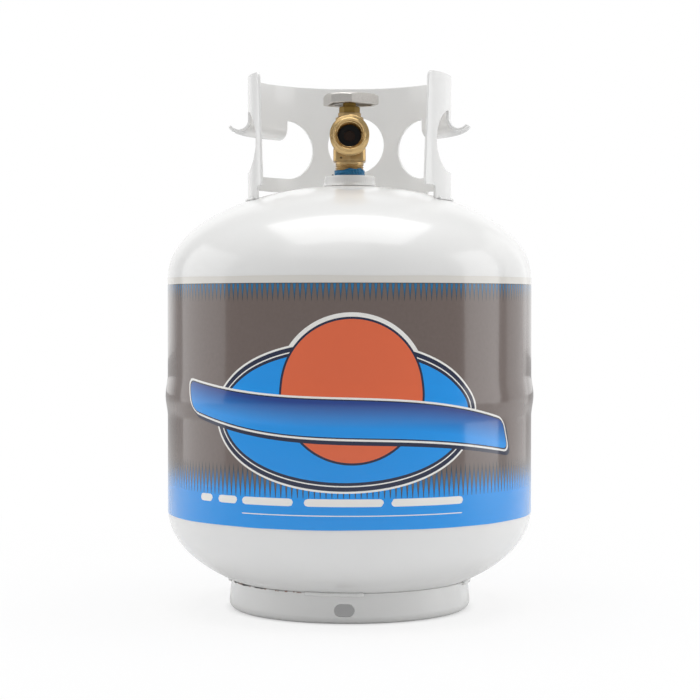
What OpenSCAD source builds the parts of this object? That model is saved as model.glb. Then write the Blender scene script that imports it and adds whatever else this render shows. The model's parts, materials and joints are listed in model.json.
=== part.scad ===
/* [Tank] */
// Outside diameter of the steel body
body_d = 310; // [250:1:370]
// Thickness of the body's steel
wall = 2.1; // [1.5:0.1:3]
// Height of each domed end
dome_h = 77; // [60:1:92]
// Length of the straight barrel between the domed ends
barrel_len = 200; // [160:1:260]
// Height of the lowest point of the body above the floor
belly_lift = 6.5; // [3:0.5:15]
// How far the lower half reaches up inside the upper half
seam_lap = 12; // [8:1:20]
// Height of the step that brings the lower half inside the upper half
joggle_h = 6; // [4:0.5:10]
// How far the weld bead around the middle stands out
bead_h = 1.8; // [1:0.1:3]

/* [Neck] */
// Outside diameter of the neck boss
boss_d = 43; // [40:0.5:50]
// Height of the boss above the top of the dome
boss_h = 7.8; // [6:0.1:14]
// Diameter of the boss's spigot through the dome
spigot_d = 34; // [32:0.5:38]
// How far the spigot reaches below the boss's flange
spigot_len = 6; // [4:0.5:12]
// Diameter of the threaded bore in the boss
boss_bore = 26; // [25.2:0.1:28]
// Width of the weld around the boss
neck_weld_w = 6; // [3:0.5:8]

/* [Collar] */
// Outside diameter of the collar
collar_d = 174; // [150:1:210]
// Thickness of the collar's sheet
collar_sheet = 2.2; // [1.5:0.1:4]
// Height of the collar's top edge above the top of the dome
collar_rise = 92.2; // [84:0.2:120]
// Turn of the collar about the upright axis, in degrees
collar_turn = 4; // [0:1:10]
// Angle from the front to a post's front edge at the top
post_top_a = 53.2; // [45:0.1:56]
// Angle from the front to a post's front edge at the bottom
post_low_a = 49.8; // [42:0.1:56]
// How much further round the left post's front edge stands, in degrees
left_post_back = 3.9; // [0:0.1:6]
// Height of the post's lower end above the top of the dome
post_low_rise = -1.9; // [-6:0.1:12]
// Rounding of the post's top corner
post_top_round = 4.5; // [1:0.5:8]
// Rounding of the post's lower corners
post_low_round = 3; // [1:0.5:5]
// Angle from the front to the front edge of a front foot
foot_front_a = 59.3; // [57:0.1:75]
// Angles from the front where the gap behind the front foot begins and ends
side_gap_a = [106, 131];
// Angle to each side of the back that the rear gap covers
rear_gap_a = 12; // [6:1:20]
// Depth of the gaps' upper edge below the top of the dome
gap_drop = 1.8; // [0:0.1:4]

/* [Hand holes] */
// Height of the side holes from edge to edge
hand_h = 51.3; // [36:0.1:56]
// Height of the side holes' middle above the top of the dome
hand_rise = 36.3; // [32:0.1:50]
// Angles from the front to the middles of a side hole's round ends
hand_a = [78, 136];
// Radius of the rolled grip, at the middle of the sheet
grip_r = 9.2; // [7:0.1:14]
// Turn of the rolled grip from upright, in degrees
grip_sweep = 145; // [120:1:170]
// Straight drop of the sheet before the grip curls outwards
grip_drop = 6.3; // [3:0.1:10]
// Diameter of the round hole at the back
rear_hole_d = 50; // [30:1:56]
// Height of the round hole's middle above the top of the dome
rear_hole_rise = 42; // [36:0.5:56]

/* [Foot ring] */
// Outside diameter of the foot ring at its widest
foot_d = 206; // [170:1:230]
// How much smaller the foot ring is across its top edge
foot_taper = 3.2; // [0:0.1:6]
// Thickness of the foot ring's sheet
foot_sheet = 2.5; // [1.5:0.1:4]
// Outside radius of the bottom edge that turns inwards
foot_curl = 6; // [4:0.5:9]
// Width of the flat rim that the foot ring stands on
foot_rim = 8; // [4:0.5:14]
// Width and height of the hole in the foot ring
foot_hole = [16, 10];
// Height of the foot ring's hole, at its middle
foot_hole_z = 11.3; // [11.2:0.1:13]
// Offset of the foot ring's hole to the side
foot_hole_x = -4.3; // [-20:0.1:20]
// Turn of the first of the foot ring's stitch welds, in degrees
foot_weld_turn = -7; // [-45:1:45]

/* [Sleeve] */
// Thickness of the printed film
film = 0.3; // [0.1:0.05:0.5]
// How far the film reaches below the straight barrel
film_below = 1.4; // [0:0.1:3]
// How far the film stops short of the top of the barrel
film_short = 2.2; // [0.5:0.1:10]
// Height on each side of the weld over which the film stands off the steel
film_tent = 18; // [12:1:30]

/* [Valve body] */
// Height of the outlet's axis above the top of the boss
outlet_rise = 32.7; // [30:0.1:45]
// Diameter of the valve's threaded shank
shank_d = 24.2; // [22:0.1:25]
// Length of the shank below the block
shank_len = 28.5; // [26:0.5:40]
// Depth of the block's underside below the outlet's axis
block_drop = 20.5; // [18:0.1:24]
// Width of the square block
block_w = 27.7; // [26:0.1:30]
// Height of the square block
block_h = 11.5; // [9:0.1:13]
// Diameter of the body above the block
column_d = 24; // [23:0.5:28]
// Height of the column's shoulder above the outlet's axis
column_rise = 18; // [17.5:0.1:20]
// Diameter of the collar that holds the bonnet
top_d = 19.7; // [18.5:0.1:22]
// Height of the collar that holds the bonnet
top_h = 3.4; // [2:0.1:6]
// Diameter of the main bore up to the seat
main_bore = 8; // [6:0.5:8.5]
// Diameter of the chamber above the seat
chamber_d = 12; // [11.5:0.1:13]
// Depth of the seat below the outlet's axis
seat_drop = 7; // [6.5:0.1:8]

/* [Outlet] */
// Outside diameter of the outlet's coarse thread
outlet_d = 33.3; // [32:0.1:36]
// Distance from the valve's axis to the outlet's face
outlet_reach = 42; // [40:0.5:50]
// Length of the outlet's thread
outlet_len = 25; // [18:0.5:26]
// Diameter of the outlet's neck behind the thread
outlet_neck_d = 27; // [24:0.5:30]
// Bore of the outlet, which has the smaller inner thread
outlet_bore = 22.4; // [21:0.1:24]
// Distance from the valve's axis to the end of the inner thread
outlet_bore_from = 24; // [23:0.5:28]
// Outside diameter of the black seal in the outlet
seal_d = 18.7; // [17:0.1:20]
// Diameter of the poppet in the middle of the seal
check_d = 9.2; // [8:0.1:9.6]
// Travel of the poppet
check_travel = 3.5; // [2:0.1:4]

/* [Stem] */
// Width across the flats of the bonnet's hexagon
bonnet_af = 15.6; // [14.6:0.1:17]
// Height of the bonnet above the valve body
bonnet_h = 8.6; // [7.5:0.1:12]
// Height of the round neck above the bonnet's hexagon
bonnet_neck_h = 3; // [1:0.1:4]
// Diameter of that neck
bonnet_neck_d = 11.4; // [10.6:0.1:14]
// Diameter of the stem
stem_d = 8.4; // [7:0.1:9]
// Height of the stem's shoulder, where the wheel rests, above the bonnet
stem_rise = 2.5; // [2:0.1:5]
// Side of the square end that drives the wheel
drive_sq = 5; // [4:0.1:5.8]
// Lift of the spindle from shut to open
lift = 3; // [2:0.1:3.2]

/* [Handwheel] */
// Distance from the axis to the wheel's corners
wheel_r = 25.5; // [22:0.1:32]
// Height of the wheel's skirt and top together
wheel_h = 9; // [8:0.1:12]
// Thickness of the wheel's top
wheel_top = 4.5; // [4:0.1:6]
// Thickness of the wheel's skirt
wheel_skirt = 3; // [2:0.1:4]
// Half of the angle that each long side covers
wheel_side_a = 38.5; // [32:0.5:42]
// Angle from the front to the middle of the first long side
wheel_turn = 41.5; // [0:0.5:120]

/* [Relief valve] */
// Diameter of the relief boss at the back of the valve
relief_d = 19; // [18:0.1:19]
// Distance from the valve's axis to the relief boss's face
relief_reach = 32; // [30:0.5:40]
// Depth of the relief boss's axis below the outlet's axis
relief_drop = 3; // [2.8:0.1:3.2]
// Travel of the relief poppet
relief_travel = 2.5; // [1:0.1:3]

/* [Bleed screw] */
// Sideways place of the bleed passage
bleed_x = -7.2; // [-7.6:0.1:-7]
// Height of the bleed passage above the block's underside
bleed_rise = 2.8; // [2.6:0.1:3.4]
// Diameter of the bleed screw's thread
bleed_d = 3.9; // [3.4:0.1:4.1]
// Length of the tube that ends at the highest liquid level
dip_len = 91.7; // [60:0.5:130]

/* [Overfill stop] */
// Outside diameter of the overfill stop's housing
opd_d = 13; // [12.4:0.1:13]
// Length of the housing below the shank
opd_len = 20; // [19:0.5:30]
// Lift of the plunger for each radian that the arm turns
opd_gear = 3.6; // [3.2:0.1:3.8]
// Length of the float's arm to the far end of the float
arm_len = 106; // [80:1:130]
// Angle between the hanging arm and upright, in degrees
arm_lean = 15; // [8:1:25]
// Diameter of the float
float_d = 20; // [16:0.5:22]
// Length of the float
float_len = 46; // [30:1:60]

/* [Hidden] */
$fn = 96;

// Clearances: parts at rest on each other, fitted together, turning or sliding, and loose
touch = 0.05;
fit = 0.05;
run = 0.06;
loose = 0.3;
// Overshoot of a cutting solid, and the segments in a curve that follows a formula
over = 1;
dome_steps = 18;
arc_steps = 10;

// Tank heights and radii
body_r = body_d / 2;
low_z = belly_lift + dome_h;
high_z = low_z + barrel_len;
dome_top = high_z + dome_h;
seam_z = low_z + barrel_len / 2;
spigot_r = spigot_d / 2;
boss_r = boss_d / 2;
boss_top = dome_top + boss_h;
boss_flange_z = dome_top + touch;

// Collar and foot ring
collar_r = collar_d / 2;
collar_top = dome_top + collar_rise;
post_low_z = dome_top + post_low_rise;
gap_z = dome_top - gap_drop;
// How far a post's front edge leans sideways for each millimetre of height
post_lean = (post_top_a - post_low_a) * PI / 180 * collar_r / (collar_top - post_low_z);
hand_z = dome_top + hand_rise;
hand_r = hand_h / 2;
grip_z = hand_z + hand_r - grip_drop;
// How far an edge stops short of another surface that it would only just touch
shy = 0.04;
grip_end_a = 0.5;
foot_r = foot_d / 2;
foot_top_r = foot_r - foot_taper / 2;
stitch_a = 26;
stitch_count = 4;
stitch_w = 4;

// Valve heights, from the outlet's axis
outlet_z = boss_top + outlet_rise;
block_z = outlet_z - block_drop;
shank_z = block_z - shank_len;
shank_r = shank_d / 2;
seat_z = outlet_z - seat_drop;
column_z = outlet_z + column_rise;
body_top_z = column_z + top_h;
chamber_r = chamber_d / 2;
seat_web = 3;

// Bonnet, stem and wheel
bonnet_thread_r = chamber_r + 1;
bonnet_thread_len = 6.4;
bonnet_low_z = body_top_z - bonnet_thread_len;
bonnet_top_z = body_top_z + bonnet_h;
bonnet_room_r = chamber_r - 0.7;
bonnet_shoulder_z = body_top_z + 2.1;
stem_r = stem_d / 2;
stem_top_z = bonnet_top_z + stem_rise;
washer_t = 0.6;
flange_top_z = bonnet_shoulder_z - washer_t - 2 * touch;
flange_h = 2.3;
stem_end_z = body_top_z - 8.4;
tang_t = 2.6;
tang_w = 7.6;
tang_h = 7;
thread_h = 5;
spindle_thread_z = stem_end_z - lift - 1 - thread_h;
spindle_rod_r = 3;
disc_h = 2;
disc_r = 4.6;
o_ring_r = 0.72;
o_ring_z = [bonnet_shoulder_z + 1.7, bonnet_shoulder_z + 4.2];
wheel_hub_r = 6.5;
wheel_low_z = stem_top_z - (wheel_h - wheel_top - 0.5);
wheel_top_z = wheel_low_z + wheel_h;
recess_r = 5.2;
recess_d = 2.4;
recess_z = wheel_top_z - recess_d;
screw_r = 1.5;

// Outlet chamber, measured forwards from the valve's axis
seal_from = 18;
seal_len = 3;
check_room_r = 6.5;
check_flange_t = 2;
// Room behind the poppet's flange for the pierced plate and the closed-up spring
check_room_rest = 4.5;
check_room_from = seal_from - check_flange_t - check_travel - check_room_rest;
check_flange_r = 6;
retainer_t = 1.5;
port_r = 4;

// Relief passage and chamber, measured backwards from the valve's axis
relief_z = outlet_z - relief_drop;
relief_pass_y = 8.6;
relief_pass_r = 1.5;
relief_port_r = 2.5;
relief_room_r = 7;
relief_room_from = 12;
relief_seal_t = 1.5;
relief_cup_t = 3;
relief_plug_t = 3.5;
// Where the relief spring's room begins and ends, and where the poppet's guide ends
relief_spring_y = relief_room_from + 3 * touch + relief_seal_t + relief_cup_t;
relief_plug_y = relief_reach - relief_plug_t - 1;
relief_guide_y = relief_plug_y - relief_travel - 3 * loose;

// Bleed passage
bleed_z = block_z + bleed_rise;
bleed_r = bleed_d / 2;
bleed_seat_y = -7.5;
bleed_vent_r = 0.9;
bleed_ring_y = 9;
dip_y = -4.5;
dip_r = 1.5;
dip_socket = 6;

// Overfill stop
opd_r = opd_d / 2;
opd_spigot_r = 5.15;
opd_spigot_len = 6;
opd_low_z = shank_z - opd_len;
opd_room_r = 5;
opd_seat_z = shank_z - 3;
opd_plug_t = 5;
opd_stem_r = 1.5;
// Turn of the arm from empty to full, and the gap that the plunger closes meanwhile
opd_swing = 50;
opd_plug_gap = opd_gear * opd_swing * PI / 180 + loose;
pivot_y = -3.5;
pivot_z = opd_low_z - 6;
pin_r = 1;
pin_len = 8.4;
hub_r = 2.6;
arm_t = 2.5;
arm_w = 4;
finger_len = 4;
finger_half = 1.2;
cheek_t = 1.5;

// Height of the outer steel above the barrel at a radius, and of a surface inset from it
function dome_rise(r, inset = 0) =
    (dome_h - inset) * sqrt(1 - pow(r / (body_r - inset), 2));
function top_z(r) = high_z + dome_rise(r);
function under_z(r) = low_z - dome_rise(r);

// Points of a domed surface from the barrel to a radius near the axis
function dome_points(inset, end_r, base_z, sign) =
    let (a1 = acos(end_r / (body_r - inset)))
    [for (i = [0:dome_steps]) let (a = a1 * i / dome_steps)
        [(body_r - inset) * cos(a), base_z + sign * (dome_h - inset) * sin(a)]];

// Points of an arc about a centre
function arc(centre, r, a0, a1) =
    [for (i = [0:arc_steps]) let (a = a0 + (a1 - a0) * i / arc_steps)
        centre + r * [cos(a), sin(a)]];

function reversed(points) = [for (i = [len(points) - 1:-1:0]) points[i]];

// A ring about the upright axis with a rectangular section
module ring(r_in, r_out, z0, z1) {
    difference() {
        translate([0, 0, z0]) cylinder(r = r_out, h = z1 - z0);
        translate([0, 0, z0 - over]) cylinder(r = r_in, h = z1 - z0 + 2 * over);
    }
}

// A part of a turned section, between two angles from the front, towards the right
module sector(a0, a1) {
    rotate([0, 0, a0 - 90]) rotate_extrude(angle = a1 - a0) children();
}

// A cylinder forwards from a distance in front of the valve's axis, at a height
module forwards(r, from, to, z, x = 0) {
    translate([x, -from, z]) rotate([90, 0, 0]) cylinder(r = r, h = to - from);
}

// A cone forwards from a distance in front of the valve's axis, at a height
module forwards_cone(r_from, r_to, from, to, z) {
    translate([0, -from, z]) rotate([90, 0, 0]) cylinder(r1 = r_from, r2 = r_to, h = to - from);
}

// A cylinder backwards from a distance behind the valve's axis, at a height
module backwards(r, from, to, z, x = 0) {
    translate([x, from, z]) rotate([-90, 0, 0]) cylinder(r = r, h = to - from);
}

// A coil spring that stands on z = 0
module coil(mean_r, wire_r, height, turns) {
    sides = 6;
    per_turn = 14;
    steps = turns * per_turn;
    climb = height - 2 * wire_r;
    points = [for (i = [0:steps], j = [0:sides - 1])
        let (a = 360 * i / per_turn, s = 360 * j / sides, r = mean_r + wire_r * cos(s))
        [r * cos(a), r * sin(a), wire_r + climb * i / steps + wire_r * sin(s)]];
    walls = [for (i = [0:steps - 1], j = [0:sides - 1])
        let (k = (j + 1) % sides)
        [i * sides + j, i * sides + k, (i + 1) * sides + k, (i + 1) * sides + j]];
    first = [for (j = [sides - 1:-1:0]) j];
    last = [for (j = [0:sides - 1]) steps * sides + j];
    polyhedron(points = points, faces = concat(walls, [first, last]));
}

// The upper pressed half of the steel body
module upper_half() {
    hole_r = spigot_r + loose;
    outer = dome_points(0, hole_r, high_z, 1);
    inner = dome_points(wall, hole_r, high_z, 1);
    color("white") rotate_extrude()
        polygon(concat([[body_r, seam_z]], outer, reversed(inner), [[body_r - wall, seam_z]]));
}

// The lower pressed half, stepped in at its top edge
module lower_half() {
    outer = dome_points(0, 0, low_z, -1);
    inner = dome_points(wall, 0, low_z, -1);
    lap_r = body_r - wall - fit;
    step_z = seam_z - joggle_h;
    color("white") rotate_extrude()
        polygon(concat(reversed(outer),
            [[body_r, step_z], [lap_r, seam_z], [lap_r, seam_z + seam_lap],
             [lap_r - wall, seam_z + seam_lap], [lap_r - wall, seam_z], [body_r - wall, step_z]],
            inner));
}

// The weld bead around the middle
module girth_weld() {
    bead_low = seam_z - joggle_h - 1.5;
    bead_high = seam_z + 4;
    mid = (bead_low + bead_high) / 2;
    half = (bead_high - bead_low) / 2;
    rim_r = body_r + touch;
    crest = [for (i = [0:arc_steps]) let (u = 2 * i / arc_steps - 1)
        [rim_r + bead_h * (1 - u * u), mid + half * u]];
    color("white") rotate_extrude()
        polygon(concat(crest, [[rim_r, seam_z - touch], [body_r - wall - fit + 2 * touch,
            seam_z - touch], [rim_r, seam_z - joggle_h]]));
}

// The forged boss that the valve screws into
module neck_boss() {
    edge = 0.8;
    foot_z = boss_flange_z - spigot_len;
    bore_r = boss_bore / 2;
    color("white") rotate_extrude()
        polygon([[bore_r, foot_z], [spigot_r, foot_z], [spigot_r, boss_flange_z],
            [boss_r, boss_flange_z], [boss_r, boss_top - edge], [boss_r - edge, boss_top],
            [bore_r, boss_top]]);
}

// The weld that joins the boss to the dome
module neck_weld() {
    r0 = boss_r + touch;
    r1 = r0 + neck_weld_w;
    top = boss_flange_z + 1.9;
    slope = [for (i = [0:arc_steps]) let (u = i / arc_steps, r = r0 + neck_weld_w * u)
        [r, top_z(r) + touch + (top - top_z(r0)) * pow(1 - u, 2)]];
    bed = [for (i = [0:4]) let (r = r1 - neck_weld_w * i / 4) [r, top_z(r) + touch]];
    color("white") rotate_extrude() polygon(concat(slope, bed));
}

// Distance along the sheet from a post's top edge, seen square on
function post_x(a) = collar_r * sin(a - post_top_a);

// What is cut away in front of a post that stands further back, seen square on
module post_outline(back) {
    reach = collar_r;
    base_z = dome_top - 2 * reach / 3;
    foot_x = post_x(foot_front_a);
    tr = post_top_round;
    lr = post_low_round;
    top_corner = [post_x(post_top_a + back) + tr * (1 - post_lean), collar_top - tr];
    low_corner = [post_x(post_low_a + back) + lr * (1 + post_lean), post_low_z + lr];
    polygon(concat([[-reach, base_z], [foot_x, base_z]],
        arc([foot_x - lr, post_low_z - lr], lr, 0, 90),
        arc(low_corner, lr, 270, 180),
        arc(top_corner, tr, 180, 95),
        [top_corner + [0, tr + over], [-reach, collar_top + over]]));
}

// The band that the collar is rolled from, standing on the dome
module collar_band() {
    in_r = collar_r - collar_sheet;
    rotate_extrude()
        polygon([[collar_r, top_z(collar_r) + touch], [collar_r, collar_top],
            [in_r, collar_top], [in_r, top_z(in_r) + touch]]);
}

// A space through the sheet between two angles and two heights
module sheet_gap(a0, a1, z0, z1) {
    sector(a0, a1)
        translate([collar_r - collar_sheet - over, z0])
            square([collar_sheet + 2 * over, z1 - z0]);
}

// A round hole through the sheet
module sheet_hole(a, r, z) {
    rotate([0, 0, a]) forwards(r, collar_r / 2, collar_r + over, z);
}

// The sheet that curls outwards at the top of a hand hole
module grip() {
    half_t = collar_sheet / 2 - shy;
    mid_r = collar_r - collar_sheet / 2;
    centre = [mid_r + grip_r, grip_z];
    top = hand_z + hand_r + over;
    end_a = 180 + grip_sweep;
    sector(hand_a[0] + grip_end_a, hand_a[1] - grip_end_a)
        polygon(concat([[mid_r + half_t, top], [mid_r - half_t, top]],
            arc(centre, grip_r + half_t, 180, end_a), arc(centre, grip_r - half_t, end_a, 180)));
}

// The rolled collar that guards the valve and serves as a handle
module collar() {
    color("white") rotate([0, 0, -collar_turn]) {
        difference() {
            collar_band();
            for (m = [0, 1]) mirror([m, 0, 0]) {
                rotate([0, 0, post_top_a]) rotate([90, 0, 0])
                    linear_extrude(collar_r + over) post_outline(m * left_post_back);
                sheet_gap(side_gap_a[0], side_gap_a[1], low_z, gap_z);
                sheet_gap(hand_a[0], hand_a[1], hand_z - hand_r + shy, hand_z + hand_r - shy);
                sheet_hole(hand_a[0], hand_r, hand_z);
                sheet_hole(hand_a[1], hand_r, hand_z);
            }
            sheet_gap(180 - rear_gap_a, 180 + rear_gap_a, low_z, gap_z);
            sheet_hole(180, rear_hole_d / 2, dome_top + rear_hole_rise);
        }
        for (m = [0, 1]) mirror([m, 0, 0]) grip();
    }
}

// The section of a fillet weld on the dome, outside a radius
module dome_fillet(r, w) {
    polygon([[r, top_z(r) + touch], [r + w, top_z(r + w) + touch],
        [r + w * 0.4, top_z(r) + touch + w * 0.4], [r, top_z(r) + touch + w]]);
}

// The welds at the collar's four feet
module collar_welds() {
    inset = 4;
    color("white") rotate([0, 0, -collar_turn])
        for (m = [0, 1]) mirror([m, 0, 0]) {
            sector(foot_front_a + inset, side_gap_a[0] - inset)
                dome_fillet(collar_r + touch, stitch_w);
            sector(side_gap_a[1] + inset, 180 - rear_gap_a - inset)
                dome_fillet(collar_r + touch, stitch_w);
        }
}

// The rolled ring that the cylinder stands on
module foot_ring() {
    centre = [foot_r - foot_curl, foot_curl];
    in_top_r = foot_top_r - foot_sheet;
    rim_r = foot_r - foot_curl - foot_rim;
    section = concat([[in_top_r, under_z(in_top_r) - touch],
        [foot_top_r, under_z(foot_top_r) - touch]],
        arc(centre, foot_curl, 0, -90), [[rim_r, 0], [rim_r, foot_sheet]],
        arc(centre, foot_curl - foot_sheet, -90, 0));
    half = (foot_hole[0] - foot_hole[1]) / 2;
    from = foot_r - foot_curl - over;
    color("white") difference() {
        rotate_extrude() polygon(section);
        for (s = [-1, 1])
            forwards(foot_hole[1] / 2, from, foot_r + over, foot_hole_z, foot_hole_x + s * half);
        translate([foot_hole_x - half, -foot_r - over, foot_hole_z - foot_hole[1] / 2])
            cube([2 * half, foot_r + over - from, foot_hole[1]]);
    }
}

// The stitch welds between the foot ring and the lower dome
module foot_ring_welds() {
    r = foot_top_r + touch;
    z = under_z(r) - touch;
    out = r + stitch_w;
    drop = 3.6;
    side_r = r + foot_taper / 2 * drop / (z - foot_curl);
    color("white") for (i = [0:stitch_count - 1])
        rotate([0, 0, foot_weld_turn + 360 * i / stitch_count])
            sector(-stitch_a / 2, stitch_a / 2)
                polygon([[r, z], [out, under_z(out) - touch], [out - 0.8, z - drop * 0.3],
                    [side_r + 0.6, z - drop], [side_r, z - drop]]);
}

// The printed film that is shrunk around the body
module sleeve() {
    in_r = body_r + touch;
    low = low_z - film_below;
    high = high_z - film_short;
    mid = seam_z - joggle_h / 4;
    stand = bead_h + 2 * touch;
    tent = [for (i = [0:2 * arc_steps]) let (u = i / arc_steps - 1)
        [in_r + stand * (1 + cos(180 * u)) / 2 + touch * (1 - u * u), mid + film_tent * u]];
    inner = concat([[in_r, low]], tent, [[in_r, high]]);
    outer = [for (p = inner) p + [film, 0]];
    color("dimgray") rotate_extrude() polygon(concat(outer, reversed(inner)));
}

// The solid outside of the valve
module valve_outside() {
    corner_r = block_w * 0.635;
    translate([0, 0, shank_z]) cylinder(r = shank_r, h = shank_len + over);
    intersection() {
        translate([-block_w / 2, -block_w / 2, block_z]) cube([block_w, block_w, block_h]);
        translate([0, 0, block_z]) cylinder(r = corner_r, h = block_h);
    }
    translate([0, 0, block_z + over]) cylinder(d = column_d, h = column_z - block_z - over);
    translate([0, 0, column_z - over]) cylinder(d = top_d, h = top_h + over);
    forwards(outlet_neck_d / 2, 0, outlet_reach - outlet_len + over, outlet_z);
    forwards(outlet_d / 2, outlet_reach - outlet_len, outlet_reach, outlet_z);
    backwards(relief_d / 2, 0, relief_reach, relief_z);
}

// The brass valve body with its chambers and passages
module valve_body() {
    mouth = 1.4;
    color("goldenrod") difference() {
        valve_outside();
        // Main bore, seat and the chamber that the bonnet closes
        translate([0, 0, shank_z - over])
            cylinder(d = main_bore, h = seat_z - seat_web - shank_z + over);
        translate([0, 0, shank_z]) cylinder(r = port_r - 1, h = seat_z - shank_z + over);
        translate([0, 0, seat_z]) cylinder(r = chamber_r, h = body_top_z - seat_z + over);
        translate([0, 0, bonnet_low_z])
            cylinder(r = bonnet_thread_r, h = bonnet_thread_len + over);
        // Outlet
        forwards(port_r, 0, check_room_from + over, outlet_z);
        forwards(check_room_r, check_room_from, seal_from + over, outlet_z);
        forwards(seal_d / 2 + touch, seal_from, outlet_bore_from, outlet_z);
        forwards_cone(seal_d / 2 + touch, outlet_bore / 2, seal_from + seal_len,
            outlet_bore_from, outlet_z);
        forwards(outlet_bore / 2, outlet_bore_from, outlet_reach + over, outlet_z);
        forwards_cone(outlet_bore / 2, outlet_bore / 2 + 2 * mouth, outlet_reach - mouth,
            outlet_reach + mouth, outlet_z);
        // Relief passage and chamber
        translate([0, relief_pass_y, shank_z - over])
            cylinder(r = relief_pass_r, h = relief_z - shank_z + over);
        backwards(relief_port_r, relief_pass_y - relief_pass_r, relief_room_from + over, relief_z);
        backwards(relief_room_r, relief_room_from, relief_reach + over, relief_z);
        // Bleed passage, and the socket for the tube below it
        translate([bleed_x, dip_y, shank_z - over]) cylinder(r = 1, h = bleed_z - shank_z + over);
        translate([bleed_x, dip_y, shank_z - over])
            cylinder(r = dip_r + fit, h = dip_socket + over);
        forwards(bleed_vent_r, -bleed_seat_y - over, block_w, bleed_z, bleed_x);
        backwards(bleed_r + fit, bleed_seat_y, block_w, bleed_z, bleed_x);
        // Socket for the overfill stop
        translate([0, 0, shank_z - over])
            cylinder(r = opd_spigot_r + fit, h = opd_spigot_len + touch + over);
    }
}

// The blue sealant on the shank's thread
module thread_sealant() {
    in_r = shank_r + fit;
    bore_r = boss_bore / 2 - fit;
    bulge_r = bore_r + 0.4;
    top = boss_top + 6.7;
    bed = boss_top + touch;
    color("steelblue") rotate_extrude()
        polygon([[in_r, shank_z + over], [bore_r, shank_z + over], [bore_r, bed], [bulge_r, bed],
            [bulge_r, top - 1.6], [in_r + 0.3, top], [in_r, top]]);
}

// The hexagonal bonnet that holds the stem
module bonnet() {
    color("darkgoldenrod") difference() {
        union() {
            translate([0, 0, body_top_z])
                cylinder(r = bonnet_af / 2 / cos(30), h = bonnet_h - bonnet_neck_h, $fn = 6);
            translate([0, 0, body_top_z + over])
                cylinder(d = bonnet_neck_d, h = bonnet_h - over);
            translate([0, 0, bonnet_low_z + touch])
                cylinder(r = bonnet_thread_r - fit, h = bonnet_thread_len);
        }
        translate([0, 0, bonnet_low_z])
            cylinder(r = bonnet_room_r, h = bonnet_shoulder_z - bonnet_low_z);
        translate([0, 0, bonnet_low_z]) cylinder(r = stem_r + run, h = bonnet_top_z);
    }
}

// The stem that the wheel turns, slotted at its lower end
module stem() {
    slot = tang_t + 2 * loose;
    slot_top = stem_end_z + tang_h - 0.5;
    screw_hole = 9;
    color("darkgoldenrod") difference() {
        union() {
            translate([0, 0, stem_end_z])
                cylinder(r = stem_r + 0.4, h = flange_top_z - stem_end_z);
            translate([0, 0, flange_top_z - flange_h])
                cylinder(r = bonnet_room_r - 0.1, h = flange_h);
            translate([0, 0, flange_top_z]) cylinder(r = stem_r, h = stem_top_z - flange_top_z);
            translate([-drive_sq / 2, -drive_sq / 2, stem_top_z - over])
                cube([drive_sq, drive_sq, recess_z - 2 * touch - stem_top_z + over]);
        }
        translate([-bonnet_room_r, -slot / 2, stem_end_z - over])
            cube([2 * bonnet_room_r, slot, slot_top - stem_end_z + over]);
        for (z = o_ring_z) ring(stem_r - 2 * o_ring_r, stem_r + over, z - 0.8, z + 0.8);
        translate([0, 0, recess_z - screw_hole]) cylinder(r = screw_r + fit, h = screw_hole);
    }
}

// The two rubber rings on the stem
module stem_o_rings() {
    color("black") for (z = o_ring_z)
        translate([0, 0, z]) rotate_extrude()
            translate([stem_r - o_ring_r, 0]) circle(o_ring_r - 0.01, $fn = 24);
}

// The slip washer between the stem's flange and the bonnet
module stem_washer() {
    color("ivory") ring(stem_r + fit, bonnet_room_r - 0.1, flange_top_z + touch,
        flange_top_z + touch + washer_t);
}

// The threaded spindle that the stem turns and the thread lifts
module spindle() {
    rod_z = seat_z + touch + disc_h;
    tang_top = spindle_thread_z + thread_h + tang_h;
    color("goldenrod") {
        translate([0, 0, rod_z]) cylinder(r = spindle_rod_r, h = spindle_thread_z - rod_z + over);
        translate([0, 0, spindle_thread_z]) cylinder(r = chamber_r - 0.1, h = thread_h);
        intersection() {
            translate([-tang_w / 2, -tang_t / 2, spindle_thread_z])
                cube([tang_w, tang_t, tang_top - spindle_thread_z]);
            translate([0, 0, spindle_thread_z]) cylinder(r = stem_r, h = tang_top);
        }
    }
}

// The soft disc that shuts the seat
module seat_disc() {
    color("dimgray") translate([0, 0, seat_z + touch]) cylinder(r = disc_r, h = disc_h - touch);
}

// Corners of the wheel at a distance from the axis, as a triangle with its points cut off
function wheel_points(r) =
    [for (i = [0:2], s = [-1, 1]) let (a = wheel_turn + 120 * i + s * wheel_side_a - 90)
        r * [cos(a), sin(a)]];

// The die-cast handwheel, hollow underneath
module handwheel() {
    ceiling_z = wheel_top_z - wheel_top;
    chamfer = 2;
    color("silver") difference() {
        union() {
            difference() {
                intersection() {
                    translate([0, 0, wheel_low_z])
                        linear_extrude(wheel_h) polygon(wheel_points(wheel_r));
                    union() {
                        translate([0, 0, wheel_low_z])
                            cylinder(r = wheel_r + over, h = wheel_h - chamfer);
                        translate([0, 0, wheel_top_z - chamfer])
                            cylinder(r1 = wheel_r + loose, r2 = wheel_r - 2 * chamfer, h = chamfer);
                    }
                }
                translate([0, 0, wheel_low_z - over])
                    linear_extrude(ceiling_z - wheel_low_z + over)
                        polygon(wheel_points(wheel_r - wheel_skirt * 1.2));
            }
            translate([0, 0, stem_top_z + touch])
                cylinder(r = wheel_hub_r, h = ceiling_z - stem_top_z + over);
        }
        translate([0, 0, recess_z]) cylinder(r = recess_r, h = recess_d + over);
        translate([-drive_sq / 2 - fit, -drive_sq / 2 - fit, stem_top_z - over])
            cube([drive_sq + 2 * fit, drive_sq + 2 * fit, wheel_h]);
    }
}

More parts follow.
